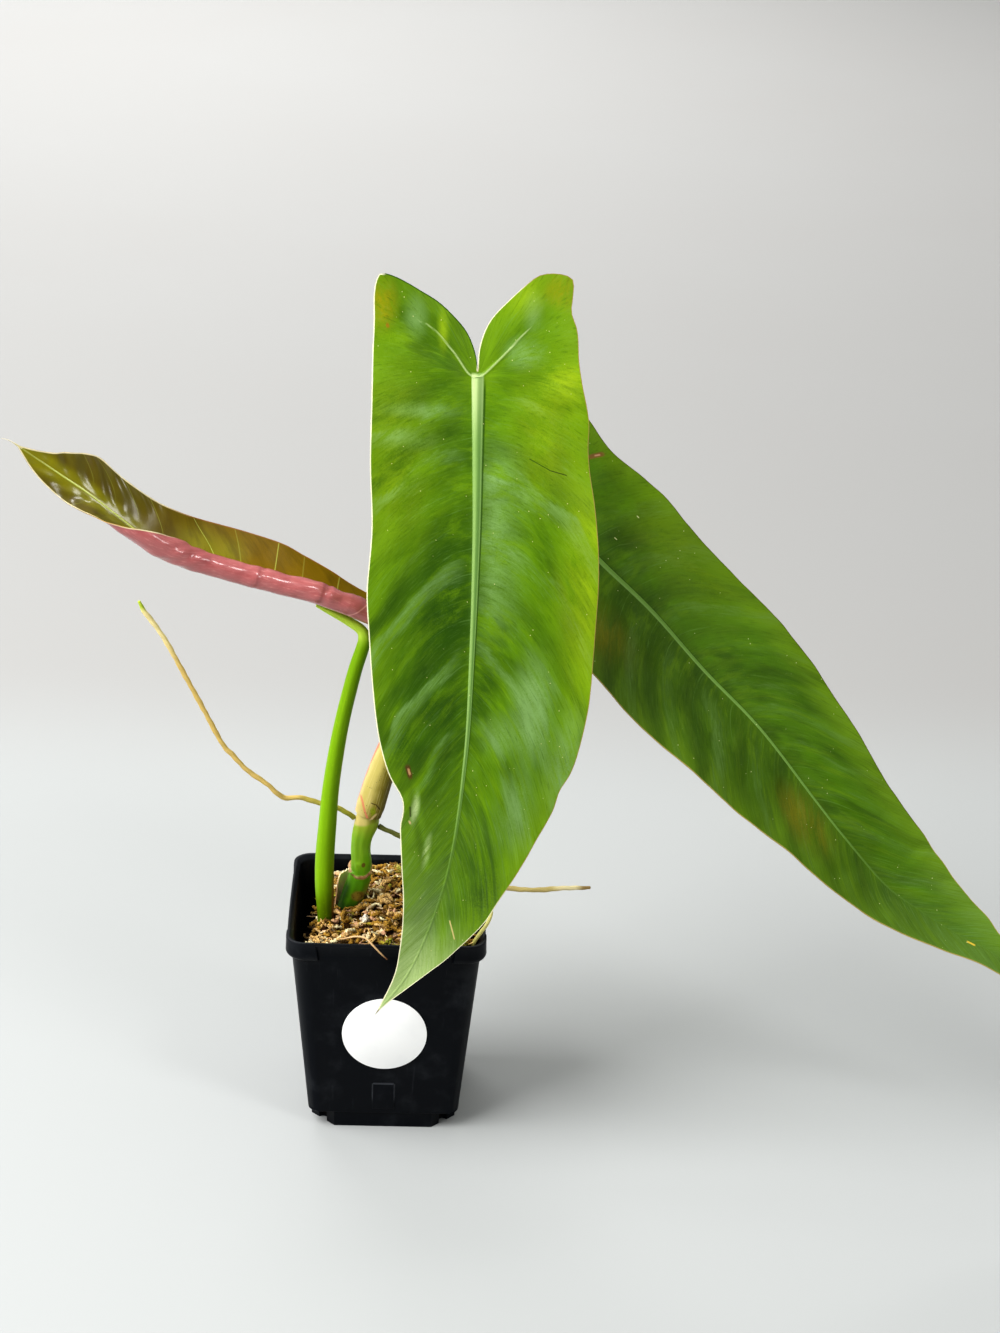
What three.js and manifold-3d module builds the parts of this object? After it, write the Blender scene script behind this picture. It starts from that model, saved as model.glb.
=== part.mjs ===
// A philodendron with three arrow-shaped leaves in a small square nursery pot of sphagnum moss.
// Lengths are in millimetres. The origin is the centre of the pot's base, +Z is up and the
// pot's front face looks along -Y.
import * as THREE from 'three';
import Module from 'manifold-3d';

const wasm = await Module();
wasm.setup();

// Clearance between pieces that touch on the plant
const GAP = 0.3;

// Square pot: half widths of its outside and wall, a foot with cut corners, the lip at its rim,
// and lugs at the rim's corners, whose curved undersides list a rise and a share of their reach
const POT = {
  height: 100,
  rimHalf: 44.45,
  rimWidth: 1.6,
  wallHalfLow: 34.35,
  wallHalfHigh: 42,
  wallHighZ: 91,
  footHeight: 8,
  footHalf: 33.2,
  footTaper: 0.4,
  footCut: 10.8,
  cornerLow: 7,
  cornerHigh: 8.3,
  thickness: 1.4,
  flatTo: 74,
  bow: 0.5,
  rimInset: 0.6,
  lip: 1.6,
  lipStep: 0.5,
  bevel: 0.35,
  lugReach: 12,
  lugEdge: 0.8,
  lugRise: 2.4,
  lugBottom: 90.4,
  lugCurve: [[0, 0], [0.7, 0.65], [2.8, 1]],
};
const DRAIN_HOLES = {
  sides: 16,
  corner: { radius: 2.6, fromCentre: 27.5 },
  side: { radius: 3, fromCentre: 24 },
};
const TAB = { width: 10, height: 14, depth: 1.2, rise: 0.4, bottom: 10.5 };

const LABEL = { radius: 19.05, thickness: 0.4, centreZ: 52, sides: 48 };

// Heights of the moss at the pot's corners and of the mound round the stem
const MOSS = {
  frontLeft: 95.5,
  frontRight: 96.5,
  backLeft: 87,
  backRight: 105,
  mound: 4,
  moundRadius: 18,
  lump: 1.1,
  rings: 10,
  shoulderZ: 80,
  rimZ: 86,
};
const GRAIN = { radius: 2.1, x: -10, y: -17, lift: 0.6 };

// Leaf blades: how far their rows lean from the midrib towards the tip, the rib's half width and
// the share of it that stands above the blade, and a half width at which waves have full height
const BLADE = {
  thickness: 0.7,
  rowLean: 0.35,
  ribHalf: 2.2,
  ribAbove: 0.15,
  keel: 3,
  halfWidth: 48,
  stations: 24,
  lobeRows: 9,
  columns: 5,
};

// Paths list a centre (x, y, z), a radius, and where it is flattened a second radius along Y
const STEM = {
  steps: 30,
  sides: 12,
  path: [
    [-21, -1, 86, 4.4],
    [-18.5, -0.3, 94, 4.8],
    [-16.8, 0, 99.3, 5],
    [-15.1, 0, 104.2, 5.1],
    [-13.5, 0, 109, 5.2],
    [-12.5, 0, 115.8, 4.7],
    [-12.9, 0, 125.4, 4.4],
    [-12.4, 0, 131, 4.6],
    [-10.4, 0.8, 138, 5.4, 6.2],
    [-9.7, 2.4, 143, 4.7, 6.7],
    [-9.5, 2.6, 146.6, 4.6, 6.7],
  ],
};
const NEW_PETIOLE = {
  steps: 30,
  sides: 12,
  path: [
    [-27.2, -10.4, 84, 3.4],
    [-27.8, -10.7, 95, 3.7],
    [-28.5, -11.3, 110, 4.2],
    [-28.5, -11.5, 124.7, 4.25],
    [-27.9, -12, 137.5, 4.1],
    [-26.1, -13, 161.2, 3.7],
    [-23.8, -14, 180.7, 3.45],
    [-20.5, -15, 199.6, 3.2],
    [-16.5, -15.5, 218.4, 3.05],
    [-13.2, -15.2, 229.5, 2.9],
    [-12.4, -14.7, 234, 2.7],
    [-14, -14.3, 238.1, 2.3],
    [-20.6, -14.7, 242.6, 1.9],
    [-27.4, -15.7, 246.6, 1.4],
    [-33, -16.6, 249.8, 0.8],
  ],
};
const FRONT_PETIOLE = {
  steps: 26,
  sides: 10,
  path: [
    [-8.8, -1.2, 147.7, 3.1],
    [-5.6, -0.6, 158, 3.3],
    [0.8, 0.6, 177, 3.3],
    [8.5, 1.4, 205, 3.2],
    [17, 1.6, 245, 3],
    [25, 0.8, 290, 2.9],
    [31, -1.2, 330, 2.8],
    [32.6, -3.6, 344, 2.7],
    [33.2, -8.2, 350.4, 2.5],
  ],
};
const SIDE_PETIOLE = {
  steps: 22,
  sides: 10,
  path: [
    [-9, 6.4, 147.2, 2.9],
    [-6.6, 7.6, 158, 3.2],
    [-0.5, 10, 176, 3.2],
    [13, 14.5, 205, 3.1],
    [34, 21.5, 241, 3],
    [53, 29, 267, 2.8],
    [63.2, 32.6, 279.4, 2.4],
  ],
};
const SHEATH = {
  path: [
    [-9.7, 0.4, 143, 6.3],
    [-7.8, 0.3, 150, 6.05],
    [-5.7, 0.2, 158, 5.95],
    [-2.6, 0.3, 168, 5.8],
    [1.4, 0.6, 180, 5.4],
    [6.4, 1, 196, 4.6],
  ],
  thickness: 0.7,
  spanLow: 185,
  spanHigh: 70,
  facing: 252,
  slant: 0,
  steps: 14,
  columns: 12,
};
const OLD_SCALE = {
  path: [
    [-19.4, 0.2, 89, 6],
    [-18.2, 0.4, 95, 6.2],
    [-17, 0.6, 101, 6.6],
    [-15.8, 0.8, 107, 7.2],
    [-14.6, 0.8, 113.5, 7.4],
  ],
  thickness: 0.6,
  spanLow: 70,
  spanHigh: 120,
  facing: 142,
  slant: 0.28,
  steps: 8,
  columns: 8,
};
const LEFT_ROOT = {
  steps: 48,
  sides: 8,
  path: [
    [-15.9, 0.4, 140.3, 1.3],
    [-19.2, 0.4, 142.7, 1.1],
    [-23.7, 0.4, 145.1, 1.1],
    [-31.3, 0, 147.4, 1.1],
    [-40.3, -0.5, 150.2, 1.1],
    [-46, -1, 150, 1.15],
    [-50, -2, 152.3, 1.1],
    [-55, -2, 157.2, 1.1],
    [-63.8, -2, 163.8, 1.1],
    [-70, -2, 170.8, 1.1],
    [-74.9, -2, 176.7, 1.1],
    [-83.6, -2, 194.2, 1.1],
    [-92.3, -2, 211.5, 1.1],
    [-98.7, -2, 224.2, 1.1],
    [-103.8, -2, 232.5, 1.1],
    [-108.5, -2, 239, 1.1],
    [-110.6, -2, 243.6, 0.7],
  ],
};
const RIGHT_ROOT = {
  steps: 36,
  sides: 8,
  path: [
    [-4.8, 0, 136.5, 1.3],
    [-1, 0, 134.6, 1.1],
    [3.9, 0, 132.3, 1.1],
    [18, 0, 125, 1.1],
    [34, 0, 116, 1.1],
    [46, 0, 109, 1.1],
    [54.8, 0, 106.8, 1.1],
    [67, 0, 106.2, 1.1],
    [79, 0, 107.4, 1.1],
    [91.6, 0, 108, 0.7],
  ],
};
const RIM_ROOT_FRONT = {
  steps: 20,
  sides: 6,
  path: [
    [-26, -33, 92, 0.6],
    [-22, -37, 98.4, 0.6],
    [-18.6, -40, 100.6, 0.6],
    [-13.7, -42.2, 103, 0.6],
    [-9.3, -44.4, 103.6, 0.6],
    [-5.7, -46.4, 101, 0.6],
    [-2.5, -46.8, 97.6, 0.55],
    [0.6, -46.4, 94.2, 0.4],
  ],
};
const RIM_ROOT_RIGHT = {
  steps: 16,
  sides: 6,
  path: [
    [36, -36, 90, 0.9],
    [39, -37, 98.8, 0.9],
    [42, -34, 102.4, 0.9],
    [44.7, -28, 103.4, 0.9],
    [46.5, -20, 104.4, 0.8],
    [46, -11, 106, 0.5],
  ],
};

// Spines run from behind the lobes through the junction (the second knot) to the tip. The
// across vectors point to the side where the outline named `plus` lies, at junction and tip.
// Outlines list points (across, along) from the notch between the lobes to the tip.
const FRONT_LEAF = {
  spine: [[32, 3, 395], [33, -12, 352.5], [33.7, -23, 320], [34.2, -32, 287], [33.8, -42, 241],
    [32.2, -49, 193], [26, -53, 140.5], [12, -54, 96], [-4.2, -54, 70.6]],
  acrossJunction: [1, 0.1, 0],
  acrossTip: [1, 0, 0],
  minus: [[0, -2.5], [1, -10], [4.5, -18.5], [10, -25], [16.5, -31], [24, -35.5], [31, -39.5],
    [37, -42], [41.5, -42], [43.5, -35], [43.5, -23], [44, -10], [44.5, 10], [45, 35], [44, 64],
    [45.5, 90], [44, 110], [40.5, 141], [37, 159], [32, 172.5], [25.5, 183], [24, 190],
    [24.3, 197], [23, 205], [20, 219], [15.5, 234], [12, 246], [8.5, 259], [5, 272], [0, 293]],
  plus: [[0, -2.5], [0.5, -11], [2.7, -18.7], [6.3, -25], [12, -31], [18.5, -37], [25, -42],
    [31, -43.3], [37.5, -42.5], [40.3, -40], [40, -33], [39.5, -27], [42, -19], [42.5, -7],
    [44, 3], [47, 18], [47, 30], [48, 41], [50, 54], [52, 75], [52.5, 92], [52, 118], [51, 136],
    [49, 150], [46, 165], [42, 174], [40, 184], [35, 196], [30, 209], [25, 222], [22, 233],
    [17, 245], [11, 258], [5.5, 269], [2, 281], [0, 293]],
  ribDepth: 2.2,
  profile: foldedProfile({ fold: 0.12, bow: 0.0022, wave: 1.6, waveLength: 74, phase: 0.6 }),
};
const SIDE_LEAF = {
  spine: [[32, 42, 312], [65, 30, 281.6], [90, 20, 259], [113, 10.7, 240], [137, 1.4, 216],
    [162.6, -7.6, 192.5], [188.6, -16.6, 162], [202, -21, 146.6], [221, -25, 126],
    [235, -28, 116.4], [251, -31, 107], [274, -35.4, 96], [298.5, -40, 77]],
  acrossJunction: [0.68, 0.63, 0.43],
  acrossTip: [0.7, 0.45, 0.55],
  minus: [[0, -2.5], [1, -11], [5, -19], [11, -27], [19, -35], [27, -41], [34, -43.5], [39, -41],
    [41, -33], [42, -20], [42.5, 0], [43, 30], [42.5, 55], [41.5, 80], [39.7, 110], [37.5, 134],
    [34, 155], [30, 171], [25.4, 187], [21.2, 209], [17, 227], [13.5, 247], [10.6, 261],
    [7.8, 280], [6, 297], [0, 321]],
  plus: [[0, -2.5], [1, -11], [5, -19], [11, -27], [19, -35], [27, -41], [34, -44], [40, -42],
    [43, -34], [44.5, -24], [44, -12.7], [42.5, -2.4], [42.7, 7], [45, 20.5], [44.6, 37],
    [42, 51.7], [41.4, 64.5], [42, 78], [42.4, 91], [42, 112], [41, 122], [39.7, 136], [37.2, 149],
    [35.6, 165], [32.8, 186], [30.7, 208], [27.6, 234], [20, 256.5], [14, 275], [8.6, 285],
    [4, 301], [0, 321]],
  ribDepth: 2.2,
  profile: foldedProfile({ fold: 0.12, bow: 0.0022, wave: 1.8, waveLength: 62, phase: 2.2 }),
};
const NEW_LEAF = {
  spine: [[5, -10, 233], [-11.8, -14, 242], [-33.3, -17, 252], [-53, -19.5, 258.5],
    [-74, -22.5, 266], [-90.5, -25, 273], [-103, -27.5, 281.5], [-114.3, -29.5, 291.5],
    [-127, -32, 303], [-138.6, -34.5, 312.3], [-156.6, -38, 326.5]],
  acrossJunction: [-0.2, -0.95, -0.12],
  acrossTip: [-0.5, -0.3, -0.85],
  minus: [[0, -2.5], [2, -8], [6, -13], [11, -15], [15, -12], [16, -4], [17, 12], [20.5, 31],
    [22.4, 42], [21.7, 60], [19.7, 80], [17.6, 95], [15.2, 110], [14.3, 120], [14.2, 130],
    [15, 139], [13, 145], [9, 152], [5.5, 157], [2.4, 164], [0, 171]],
  plus: [[0, -2.5], [2, -8], [7, -13], [13, -15], [18, -12], [21, -5], [23, 10], [25, 35],
    [25.5, 60], [24.5, 84], [21.5, 100], [18, 110], [13, 119], [9, 128], [8.7, 140], [7.3, 151],
    [4.9, 160], [0, 171]],
  ribDepth: 0.5,
  profile: rolledProfile({
    roll: { radius: 4.9, tighten: 0.04 },
    loosen: { by: 1.4, from: 70, to: 105 },
    unroll: { share: 0.93, from: 114, to: 140 },
    arch: { radius: 45, tighten: 0.001 },
    flatten: { by: 1.5, from: 86, to: 146 },
  }),
};

const LOOKS = {
  pot: { color: 0x14161b, roughness: 0.4 },
  label: { color: 0xf4f4f2, roughness: 0.6 },
  moss: { color: 0xb08d52, roughness: 0.95 },
  grain: { color: 0xe9e6dc, roughness: 0.9 },
  stem: { color: 0x4f8a2a, roughness: 0.5 },
  sheath: { color: 0xc9b06a, roughness: 0.5 },
  oldScale: { color: 0xd3bd8e, roughness: 0.8 },
  freshPetiole: { color: 0x86b92c, roughness: 0.5 },
  petiole: { color: 0x6f9e36, roughness: 0.5 },
  leaf: { color: 0x4c8a22, roughness: 0.35 },
  darkLeaf: { color: 0x376f1d, roughness: 0.35 },
  newLeaf: { color: 0x8a7a2c, roughness: 0.3 },
  root: { color: 0xb89b52, roughness: 0.7 },
  rimRoot: { color: 0xb58a6a, roughness: 0.8 },
};

const vector = ([x, y, z]) => new THREE.Vector3(x, y, z);
const lerp = THREE.MathUtils.lerp;

/** Geometry from a list of points and a list of triangles. */
function geometryFrom(points, faces) {
  const geometry = new THREE.BufferGeometry();
  const position = new THREE.Float32BufferAttribute(points.flatMap((p) => p.toArray()), 3);
  geometry.setAttribute('position', position);
  geometry.setIndex(faces.flat());
  geometry.computeVertexNormals();
  return geometry;
}

/** Closed solid through rings of equal count, each counterclockwise, with a fan over each end. */
function loft(rings) {
  const count = rings[0].length;
  const points = rings.flat();
  const faces = [];
  for (let start = 0; start + count < points.length; start += count) {
    for (let i = 0; i < count; i += 1) {
      const a = start + i;
      const b = start + ((i + 1) % count);
      faces.push([a, b, b + count], [a, b + count, a + count]);
    }
  }
  const last = points.length - count;
  const centres = [rings[0], rings.at(-1)].map(middleOf);
  const first = points.push(...centres) - 2;
  for (let i = 0; i < count; i += 1) {
    const next = (i + 1) % count;
    faces.push([first, next, i], [first + 1, last + i, last + next]);
  }
  return geometryFrom(points, faces);
}

function middleOf(ring) {
  const sum = ring.reduce((total, p) => total.add(p), new THREE.Vector3());
  return sum.divideScalar(ring.length);
}

/** Closed solid between two like surfaces, with walls along the edges that only one face uses. */
function thicken(upper, lower, faces) {
  const used = new Set(faces.flatMap(([a, b, c]) => [`${a},${b}`, `${b},${c}`, `${c},${a}`]));
  const below = upper.length;
  const all = [...faces, ...faces.map(([a, b, c]) => [c + below, b + below, a + below])];
  for (const edge of used) {
    const [a, b] = edge.split(',').map(Number);
    if (!used.has(`${b},${a}`)) {
      all.push([b, a, a + below], [b, a + below, b + below]);
    }
  }
  return geometryFrom([...upper, ...lower], all);
}

/** Smooth curve through a path's centres, with its radii read off along it. */
function smoothPath(path) {
  const curve = new THREE.CatmullRomCurve3(path.map(vector), false, 'catmullrom', 0.5);
  const radii = path.map(([, , , radius, depth]) => new THREE.Vector3(radius, depth ?? radius, 0));
  const sizes = new THREE.CatmullRomCurve3(radii, false, 'catmullrom', 0.5);
  return { curve, sizeAt: (u) => sizes.getPoint(curve.getUtoTmapping(u)) };
}

/** Two directions across a tangent: the first lies as near to +Y as it can. */
function crossAxes(tangent) {
  const depth = new THREE.Vector3(0, 1, 0);
  depth.addScaledVector(tangent, -depth.dot(tangent)).normalize();
  return { depth, width: new THREE.Vector3().crossVectors(tangent, depth) };
}

/** Tube with changing radius along a path. `grow` widens it all round and lengthens its foot. */
function tube({ path, steps, sides }, grow = 0) {
  const { curve, sizeAt } = smoothPath(path);
  const rings = [];
  for (let k = 0; k <= steps; k += 1) {
    const u = k / steps;
    const tangent = curve.getTangentAt(u);
    const { depth, width } = crossAxes(tangent);
    const size = sizeAt(u);
    rings.push(Array.from({ length: sides }, (_, i) => {
      const angle = (2 * Math.PI * i) / sides;
      return curve.getPointAt(u)
        .addScaledVector(tangent, k === 0 ? -grow : 0)
        .addScaledVector(depth, (size.y + grow) * Math.cos(angle))
        .addScaledVector(width, (size.x + grow) * Math.sin(angle));
    }));
  }
  return loft(rings);
}

function toManifold(geometry) {
  const vertProperties = new Float32Array(geometry.getAttribute('position').array);
  const triVerts = new Uint32Array(geometry.getIndex().array);
  return new wasm.Manifold(new wasm.Mesh({ numProp: 3, vertProperties, triVerts }));
}

function fromManifold(manifold) {
  const mesh = manifold.getMesh();
  const geometry = new THREE.BufferGeometry();
  geometry.setAttribute('position', new THREE.BufferAttribute(mesh.vertProperties, 3));
  geometry.setIndex(new THREE.BufferAttribute(mesh.triVerts, 1));
  geometry.computeVertexNormals();
  return geometry;
}

/** A solid with others cut out of it. */
function cut(geometry, tools) {
  const solid = tools.reduce((body, tool) => body.subtract(toManifold(tool)), toManifold(geometry));
  return fromManifold(solid);
}

function mesh(name, geometry, look) {
  const material = new THREE.MeshStandardMaterial({ ...look, metalness: 0 });
  const piece = new THREE.Mesh(geometry, material);
  piece.name = name;
  return piece;
}

/** Half width of the pot's flat outer wall at a height. */
function wallHalf(z) {
  const rise = (z - POT.footHeight) / (POT.wallHighZ - POT.footHeight);
  return lerp(POT.wallHalfLow, POT.wallHalfHigh, rise);
}

/** Corner at +X+Y of a level outline: an arc, or a straight cut, from its +X end to its +Y end. */
function cornerPoints({ half, radius, cutBy, steps }) {
  return Array.from({ length: steps + 1 }, (_, i) => {
    const t = i / steps;
    if (cutBy) {
      return [half - cutBy * t, half - cutBy * (1 - t)];
    }
    const angle = (t * Math.PI) / 2;
    return [half - radius + radius * Math.cos(angle), half - radius + radius * Math.sin(angle)];
  });
}

/** Level outline of the pot, counterclockwise, whose corners may stand proud of its sides. */
function potRing(z, { half, radius, cutBy, proud = 0, bow = 0 }) {
  const lugEnd = half - POT.lugReach;
  const inner = lugEnd - POT.lugEdge;
  const side = [-lugEnd, -inner, -inner / 2, 0, inner / 2, inner, lugEnd].map((across) => {
    const onLug = Math.abs(across) === lugEnd;
    return [half + (onLug ? proud : bow * (1 - (across / half) ** 2)), across];
  });
  const corner = cornerPoints({ half: half + proud, radius, cutBy, steps: 5 });
  const quarter = [...side, ...corner];
  return [0, 1, 2, 3].flatMap((turns) => quarter.map(([x, y]) => turned(x, y, z, turns)));
}

function turned(x, y, z, turns) {
  const quarters = [[x, y], [-y, x], [-x, -y], [y, -x]];
  return new THREE.Vector3(...quarters[turns], z);
}

/** Level outline moved inwards by a distance all round. */
function setIn({ half, radius, cutBy, bow }, by) {
  return {
    half: half - by,
    radius: radius - by,
    cutBy: cutBy && cutBy - by * (2 - Math.SQRT2),
    bow,
  };
}

/** Outlines of the pot's outside at a height: its foot, its wall, and its wall below the rim. */
function footOutline(z) {
  return { half: POT.footHalf - POT.footTaper * (1 - z / POT.footHeight), cutBy: POT.footCut };
}

function wallOutline(z, bow = 0) {
  const rise = Math.min((z - POT.footHeight) / (POT.flatTo - POT.footHeight), 1);
  return { half: wallHalf(z), radius: lerp(POT.cornerLow, POT.cornerHigh, rise), bow };
}

/** Shell up its outside, over the rim and down its inside to the floor. */
function potShell() {
  const { height, footHeight, thickness, bow } = POT;
  const rimSide = { half: POT.rimHalf - POT.rimInset, radius: POT.cornerHigh, bow };
  const proud = POT.rimInset;
  return loft([
    potRing(0, footOutline(0)),
    potRing(footHeight, footOutline(footHeight)),
    potRing(footHeight, wallOutline(footHeight)),
    potRing(POT.flatTo, wallOutline(POT.flatTo)),
    ...POT.lugCurve.map(([up, share]) => {
      const z = POT.lugBottom + up;
      return potRing(z, { ...wallOutline(z, bow), proud: POT.lugRise * share });
    }),
    potRing(height - POT.lip, {
      ...rimSide,
      half: rimSide.half - POT.lipStep,
      proud: proud + POT.lipStep,
    }),
    potRing(height - POT.bevel, { ...rimSide, proud }),
    potRing(height, { ...rimSide, half: rimSide.half - POT.bevel, proud }),
    potRing(height, setIn({ ...rimSide, half: POT.rimHalf }, POT.rimWidth)),
    potRing(height - POT.rimWidth, setIn(wallOutline(height - POT.rimWidth, bow), thickness)),
    potRing(footHeight + thickness, setIn(wallOutline(footHeight), thickness)),
    potRing(footHeight + thickness, setIn(footOutline(footHeight), thickness)),
    potRing(thickness, setIn(footOutline(0), thickness)),
  ]);
}

/** Upright cylinder for a drain hole, round the point (x, y). */
function drill(radius, x, y) {
  const reach = 2 * (POT.footHeight + 3 * POT.thickness);
  const hole = new THREE.CylinderGeometry(radius, radius, reach, DRAIN_HOLES.sides);
  hole.rotateX(Math.PI / 2);
  hole.translate(x, y, 0);
  return weld(hole);
}

/** The same solid with one vertex at each corner. */
function weld(geometry) {
  const position = geometry.getAttribute('position');
  const points = [];
  const places = new Map();
  const index = Array.from({ length: position.count }, (_, i) => {
    const point = new THREE.Vector3().fromBufferAttribute(position, i);
    const key = point.toArray().map((c) => Math.round(c * 1e4)).join();
    if (!places.has(key)) {
      places.set(key, points.push(point) - 1);
    }
    return places.get(key);
  });
  const faces = [];
  const corners = geometry.getIndex() ? Array.from(geometry.getIndex().array) : index.map((_, i) => i);
  for (let i = 0; i < corners.length; i += 3) {
    const [a, b, c] = corners.slice(i, i + 3).map((corner) => index[corner]);
    if (a !== b && b !== c && c !== a) {
      faces.push([a, b, c]);
    }
  }
  return geometryFrom(points, faces);
}

function drainHoles() {
  const { corner, side } = DRAIN_HOLES;
  return [0, 1, 2, 3].flatMap((turns) => {
    const atCorner = turned(corner.fromCentre, corner.fromCentre, 0, turns);
    const atSide = turned(side.fromCentre, 0, 0, turns);
    return [
      drill(corner.radius, atCorner.x, atCorner.y),
      drill(side.radius, atSide.x, atSide.y),
    ];
  });
}

/** Places a geometry on the pot's front wall: its own XY plane on the wall, its +Z outwards. */
function ontoFrontWall(geometry, z, out) {
  const slope = Math.atan2(POT.wallHalfHigh - POT.wallHalfLow, POT.wallHighZ - POT.footHeight);
  geometry.translate(0, 0, out);
  geometry.rotateX(Math.PI / 2 + slope);
  geometry.translate(0, -wallHalf(z), z);
  return geometry;
}

/** Low raised frame moulded on the front wall. */
function mouldedTab() {
  const plate = new THREE.BoxGeometry(TAB.width, TAB.height, TAB.depth);
  return weld(ontoFrontWall(plate, TAB.bottom + TAB.height / 2, TAB.rise - TAB.depth / 2));
}

function pot() {
  const shell = toManifold(potShell()).add(toManifold(mouldedTab()));
  return mesh('pot', cut(fromManifold(shell), drainHoles()), LOOKS.pot);
}

function label() {
  const disc = new THREE.CylinderGeometry(LABEL.radius, LABEL.radius, LABEL.thickness, LABEL.sides);
  disc.rotateX(Math.PI / 2);
  const out = GAP + LABEL.thickness / 2;
  return mesh('label', weld(ontoFrontWall(disc, LABEL.centreZ, out)), LOOKS.label);
}

/** Height of the moss without its lumps. */
function mossLevel(x, y) {
  const right = (x / wallHalf(POT.height) + 1) / 2;
  const back = (y / wallHalf(POT.height) + 1) / 2;
  const front = lerp(MOSS.frontLeft, MOSS.frontRight, right);
  const rear = lerp(MOSS.backLeft, MOSS.backRight, right);
  const mound = MOSS.mound * Math.exp(-(x * x + y * y) / (2 * MOSS.moundRadius ** 2));
  return lerp(front, rear, back) + mound;
}

/** Small lumps of the moss, from crossing waves. */
function mossLumps(x, y) {
  const crossed = Math.sin(0.52 * x + 1.3) * Math.cos(0.47 * y - 0.4);
  return MOSS.lump * (crossed + 0.7 * Math.sin(0.9 * x - 0.7 * y));
}

/** Moss that fills the pot, clear of its inside. */
function mossFill() {
  const { footHeight, thickness } = POT;
  const inset = thickness + GAP + 0.1;
  const foot = setIn(footOutline(0), inset);
  const floor = thickness + GAP;
  const rim = setIn(wallOutline(MOSS.rimZ, POT.bow / 2), inset);
  const edge = potRing(0, rim);
  const rings = [
    potRing(floor, foot),
    potRing(footHeight + floor, foot),
    potRing(footHeight + floor, setIn(wallOutline(footHeight), inset)),
    potRing(MOSS.shoulderZ, setIn(wallOutline(MOSS.shoulderZ), inset)),
  ];
  for (let k = 0; k < MOSS.rings; k += 1) {
    const shrink = 1 - k / MOSS.rings;
    rings.push(edge.map(({ x, y }) => {
      const level = mossLevel(x * shrink, y * shrink);
      const lumps = k > 0 ? mossLumps(x * shrink, y * shrink) : -MOSS.lump;
      return new THREE.Vector3(x * shrink, y * shrink, level + lumps);
    }));
  }
  return loft(rings);
}

/** White grain of perlite: a ball with few faces, grown for the dimple that it lies in. */
function grainBall(grow) {
  const { radius, x, y, lift } = GRAIN;
  const ball = weld(new THREE.IcosahedronGeometry(radius + grow, 1));
  return ball.translate(x, y, mossLevel(x, y) + mossLumps(x, y) + lift);
}

function moss() {
  const rooted = [STEM, NEW_PETIOLE, RIM_ROOT_FRONT, RIM_ROOT_RIGHT];
  const holes = rooted.map((piece) => tube(piece, GAP));
  const tools = [...holes, scale(OLD_SCALE, GAP), grainBall(GAP)];
  return mesh('moss', cut(mossFill(), tools), LOOKS.moss);
}

/** Blade halves folded up from the midrib, bowed back to waved margins. */
function foldedProfile({ fold, bow, wave, waveLength, phase }) {
  const { keel, halfWidth } = BLADE;
  return (across, along) => {
    const out = Math.abs(across);
    const ripple = Math.sin((2 * Math.PI * along) / waveLength + phase + Math.sign(across));
    const height = fold * (Math.hypot(out, keel) - keel) - bow * out * out
      + wave * (out / halfWidth) ** 2 * ripple;
    return { x: across, height, tilt: 0 };
  };
}

/** Arc or tightening spiral of length `reach`, bent up from the midrib. */
function curl(reach, radius, tighten) {
  const tilt = -Math.log(1 - (tighten * reach) / radius) / tighten;
  const decay = Math.exp(-tighten * tilt);
  const scale = radius / (1 + tighten * tighten);
  return {
    x: scale * (decay * (Math.sin(tilt) - tighten * Math.cos(tilt)) + tighten),
    height: scale * (1 - decay * (Math.cos(tilt) + tighten * Math.sin(tilt))),
    tilt,
  };
}

/** Young blade: the plus half is rolled up like a scroll, except near the tip, the other arched. */
function rolledProfile({ roll, loosen, unroll, arch, flatten }) {
  const stage = (along, { from, to }) => THREE.MathUtils.smoothstep(along, from, to);
  return (across, along) => {
    const looser = roll.radius + loosen.by * stage(along, loosen);
    const rollRadius = looser / (1 - unroll.share * stage(along, unroll));
    const archRadius = arch.radius * (1 + flatten.by * stage(along, flatten));
    const rolled = across > 0;
    const side = rolled ? 1 : -1;
    const [radius, tighten] = rolled ? [rollRadius, roll.tighten] : [archRadius, arch.tighten];
    const bent = curl(side * across, radius, tighten);
    return { x: side * bent.x, height: bent.height, tilt: side * bent.tilt };
  };
}

/** Frames along a blade's midrib, measured from the junction. */
function spineOf({ spine, acrossJunction, acrossTip }) {
  const perKnot = 60;
  const curve = new THREE.CatmullRomCurve3(spine.map(vector), false, 'catmullrom', 0.5);
  curve.arcLengthDivisions = perKnot * (spine.length - 1);
  const start = curve.getLengths()[perKnot];
  const total = curve.getLength();
  const length = total - start;
  return {
    length,
    at(along) {
      const u = THREE.MathUtils.clamp((along + start) / total, 0, 1);
      const tangent = curve.getTangentAt(u);
      const origin = curve.getPointAt(u).addScaledVector(tangent, along + start - u * total);
      const t = THREE.MathUtils.clamp(along / length, 0, 1);
      const across = vector(acrossJunction).lerp(vector(acrossTip), t);
      across.addScaledVector(tangent, -across.dot(tangent)).normalize();
      return { origin, across, normal: new THREE.Vector3().crossVectors(tangent, across) };
    },
  };
}

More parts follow.
